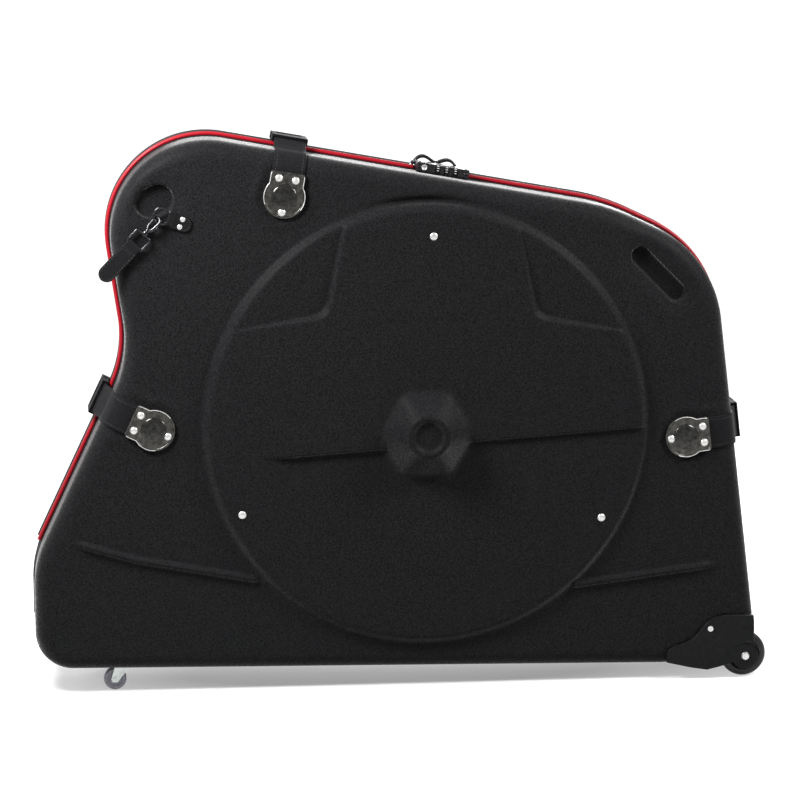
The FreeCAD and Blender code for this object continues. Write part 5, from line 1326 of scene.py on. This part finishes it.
def moulded(name, dark, light, roughness, scale=300, bump=0.0001, metallic=0.0, specular=0.3):
    """Moulded or plated surface with slight mottling and uneven gloss."""
    material, tree, shader, noise = mottled(name, dark, light, scale, 0.3, bump)
    levels = {"To Min": roughness * GLOSS_LOW, "To Max": roughness * GLOSS_HIGH}
    gloss = add_node(tree, "ShaderNodeMapRange", {"Value": noise}, levels)
    tree.links.new(gloss.outputs["Result"], shader.inputs["Roughness"])
    set_inputs(shader, {"Metallic": metallic, "Specular IOR Level": METAL_SPECULAR if metallic
                        else specular})
    return material


SHELL = cloth("shell_cloth", (0.003, 0.003, 0.0033), (0.0145, 0.0145, 0.0156), 0.5, grain=420,
              specular=0.025, sheen=0.64)
LINING = cloth("lining_cloth", (0.02, 0.02, 0.022), (0.05, 0.05, 0.054), 0.85, grain=420)
RED = cloth("red_piping_cloth", (0.2, 0.003, 0.008), (0.31, 0.008, 0.016), 0.34, grain=900, specular=0.2)
BLACK_CLOTH = cloth("black_tape_cloth", (0.004, 0.004, 0.0045), (0.012, 0.012, 0.013), 0.65, grain=900)
WEBBING = cloth("webbing_cloth", (0.006, 0.006, 0.0066), (0.018, 0.018, 0.02), 0.75, grain=600)
THREAD = cloth("thread", (0.010, 0.010, 0.011), (0.026, 0.026, 0.028), 0.6, grain=1500)
LEATHER = moulded("strap_leather", (0.005, 0.005, 0.0055), (0.013, 0.013, 0.0142), 0.4, scale=420,
                  bump=0.0002, specular=0.04)
PATENT = moulded("patent_leather", (0.004, 0.004, 0.0045), (0.009, 0.009, 0.0098), 0.2, scale=420,
                 bump=0.0002, specular=0.1)
PLATE = moulded("plate_metal", (0.03, 0.029, 0.027), (0.085, 0.082, 0.076), 0.3, scale=140, metallic=1.0)
BOSS = moulded("boss_metal", (0.016, 0.016, 0.0158), (0.05, 0.049, 0.047), 0.2, scale=160, metallic=1.0)
SILVER = moulded("rivet_metal", (0.42, 0.42, 0.41), (0.56, 0.56, 0.55), 0.4, scale=300, metallic=1.0)
GLOSS = moulded("gloss_plastic", (0.004, 0.004, 0.0045), (0.008, 0.008, 0.0088), 0.45, scale=200,
                specular=0.012)
HOUSING = moulded("housing_plastic", (0.006, 0.0062, 0.0067), (0.011, 0.0114, 0.0121), 0.3, scale=160,
                  specular=0.06)
NICKEL = moulded("black_nickel", (0.018, 0.018, 0.02), (0.05, 0.05, 0.053), 0.12, scale=300, metallic=1.0)
LOCK_METAL = moulded("lock_metal", (0.006, 0.006, 0.007), (0.014, 0.014, 0.016), 0.26, scale=300,
                     metallic=0.6)
TEETH = moulded("zip_teeth", (0.01, 0.01, 0.011), (0.024, 0.024, 0.026), 0.35, scale=400)
ZINC = moulded("zinc_metal", (0.28, 0.30, 0.29), (0.40, 0.42, 0.41), 0.3, scale=120, metallic=1.0)
TYRE = moulded("tyre_rubber", (0.004, 0.004, 0.0043), (0.008, 0.008, 0.0083), 0.3, scale=300, specular=0.25)
CASTOR_TYRE = moulded("castor_rubber", (0.22, 0.21, 0.25), (0.30, 0.29, 0.33), 0.32, scale=200)
PALE = moulded("pale_plastic", (0.45, 0.45, 0.44), (0.6, 0.6, 0.58), 0.4, scale=300)

SLOT_MATERIALS = {"shell": SHELL, "red_piping": RED, "black_piping": BLACK_CLOTH, "zip": BLACK_CLOTH,
                  "plate": PLATE, "strap": LEATHER, "webbing": BLACK_CLOTH, "rivet": SILVER,
                  "buckle": GLOSS, "housing": HOUSING, "tyre": TYRE, "hub": GLOSS, "bearing": SILVER,
                  "zinc": ZINC, "castor_tyre": CASTOR_TYRE, "black_nickel": NICKEL, "lock": GLOSS,
                  "dial": PALE}
for entry in frame["record"]["subparts"]:
    node = nodes[entry["node"]]
    node.data.materials.clear()
    node.data.materials.append(SLOT_MATERIALS[entry["material_slot"]])

shells(SHELL, LINING)
straps("front", -1, TONGUE_START - 1)
straps("rear", 1, -SOCKET_END - 1)
for half, sign in HALVES.items():
    plates(half, sign)
    rivets(half, sign)
buckles()
pipings()
zips()
hinge_leaves()
wheel_straps()
lock()
dials_and_button()
sliders()
ring_tabs()
hook_and_swivel()
tow_strap()
housings()
fixed_wheels()
castors()


# Stage, light and camera

def shown(tree):
    """One for the rays that see the backdrop itself: camera, glossy and transmission rays."""
    rays = add_node(tree, "ShaderNodeLightPath").outputs
    either = {0: rays["Is Camera Ray"], 1: rays["Is Glossy Ray"]}
    first = add_node(tree, "ShaderNodeMath", either, operation="MAXIMUM").outputs[0]
    third = {0: first, 1: rays["Is Transmission Ray"]}
    return add_node(tree, "ShaderNodeMath", third, operation="MAXIMUM").outputs[0]


FLOOR_HALF = 30.0
# The floor's glow is lower near the case, which paints shade round it; these set its reach and its least
# level
SHADOW_SQUEEZE = (1, 4, 0)
SHADOW_START, SHADOW_END, SHADOW_GLOW = 0.35, 1.15, 0.3
WORLD_LEVEL = 0.06


def stage():
    """A white floor that glows less near the case, a painted shade round it that also lets the cast shadow
    show.
    """
    mesh = bpy.data.meshes.new("floor")
    corners = [(-1, -1), (1, -1), (1, 1), (-1, 1)]
    mesh.from_pydata([(FLOOR_HALF * x, FLOOR_HALF * y, 0) for x, y in corners], [], [(0, 1, 2, 3)])
    floor = bpy.data.objects.new("floor", mesh)
    bpy.context.scene.collection.objects.link(floor)
    material, tree, shader = node_material("floor_white")
    set_inputs(shader, {"Base Color": (0.5, 0.5, 0.5, 1), "Roughness": 0.6, "Specular IOR Level": 0.2,
                        "Emission Color": (1, 1, 1, 1)})
    place = add_node(tree, "ShaderNodeNewGeometry").outputs["Position"]
    squeeze = add_node(tree, "ShaderNodeVectorMath", {0: place}, {1: SHADOW_SQUEEZE}, "MULTIPLY")
    away = add_node(tree, "ShaderNodeVectorMath", {0: squeeze.outputs["Vector"]}, operation="LENGTH")
    levels = {"From Min": SHADOW_START, "From Max": SHADOW_END, "To Min": SHADOW_GLOW, "To Max": 1.0}
    glow = add_node(tree, "ShaderNodeMapRange", {"Value": away.outputs["Value"]}, levels)
    lift = add_node(tree, "ShaderNodeMath", {0: shown(tree), 1: glow.outputs["Result"]},
                    operation="MULTIPLY")
    tree.links.new(lift.outputs[0], shader.inputs["Emission Strength"])
    mesh.materials.append(material)


def world():
    scene_world = bpy.data.worlds.new("studio")
    bpy.context.scene.world = scene_world
    scene_world.use_nodes = True
    tree = scene_world.node_tree
    background = tree.nodes["Background"]
    background.inputs["Color"].default_value = (1, 1, 1, 1)
    level = add_node(tree, "ShaderNodeMapRange", {"Value": shown(tree)},
                     {"To Min": WORLD_LEVEL, "To Max": 1.0})
    tree.links.new(level.outputs["Result"], background.inputs["Strength"])


def area_light(name, place, aim, width, height, power):
    light = bpy.data.lights.new(name, "AREA")
    light.shape = "RECTANGLE"
    light.size = width
    light.size_y = height
    light.energy = power
    lamp = bpy.data.objects.new(name, light)
    bpy.context.scene.collection.objects.link(lamp)
    lamp.location = place
    lamp.rotation_euler = (Vector(aim) - Vector(place)).to_track_quat("-Z", "Y").to_euler()


CAMERA_AZIMUTH, CAMERA_ELEVATION, CAMERA_DISTANCE = -6.0, 10.0, 5.0
CAMERA_TARGET = Vector((0.005, 0, 0.4598))
PHOTO_FOCAL, PHOTO_WIDTH, SENSOR_WIDTH = 3030, 800, 36


def camera():
    data = bpy.data.cameras.new("camera")
    data.sensor_width = SENSOR_WIDTH
    data.lens = SENSOR_WIDTH * PHOTO_FOCAL / PHOTO_WIDTH
    eye = bpy.data.objects.new("camera", data)
    bpy.context.scene.collection.objects.link(eye)
    turn, rise = math.radians(CAMERA_AZIMUTH), math.radians(CAMERA_ELEVATION)
    away = Vector((math.sin(turn) * math.cos(rise), -math.cos(turn) * math.cos(rise), math.sin(rise)))
    eye.location = CAMERA_TARGET + away * CAMERA_DISTANCE
    eye.rotation_euler = (-away).to_track_quat("-Z", "Y").to_euler()
    bpy.context.scene.camera = eye


stage()
world()
area_light("overhead", (0, 0.3, 3.0), (0, 0, 0.3), 3.2, 1.6, 5)
area_light("left_key", (-0.98, -0.64, 1.48), (-0.35, 0, 0.6), 0.45, 0.45, 44)
area_light("left_edge", (-2.4, 0.4, 1.2), (0, 0, 0.6), 0.9, 2.0, 18)
area_light("right_key", (1.3, -0.64, 1.5), (0.4, 0, 0.5), 0.5, 0.6, 32)
area_light("rear_fill", (0.7, 2.3, 0.95), (0, 0, 0.5), 1.4, 1.2, 28)
camera()

bpy.context.scene.view_settings.view_transform = "Standard"
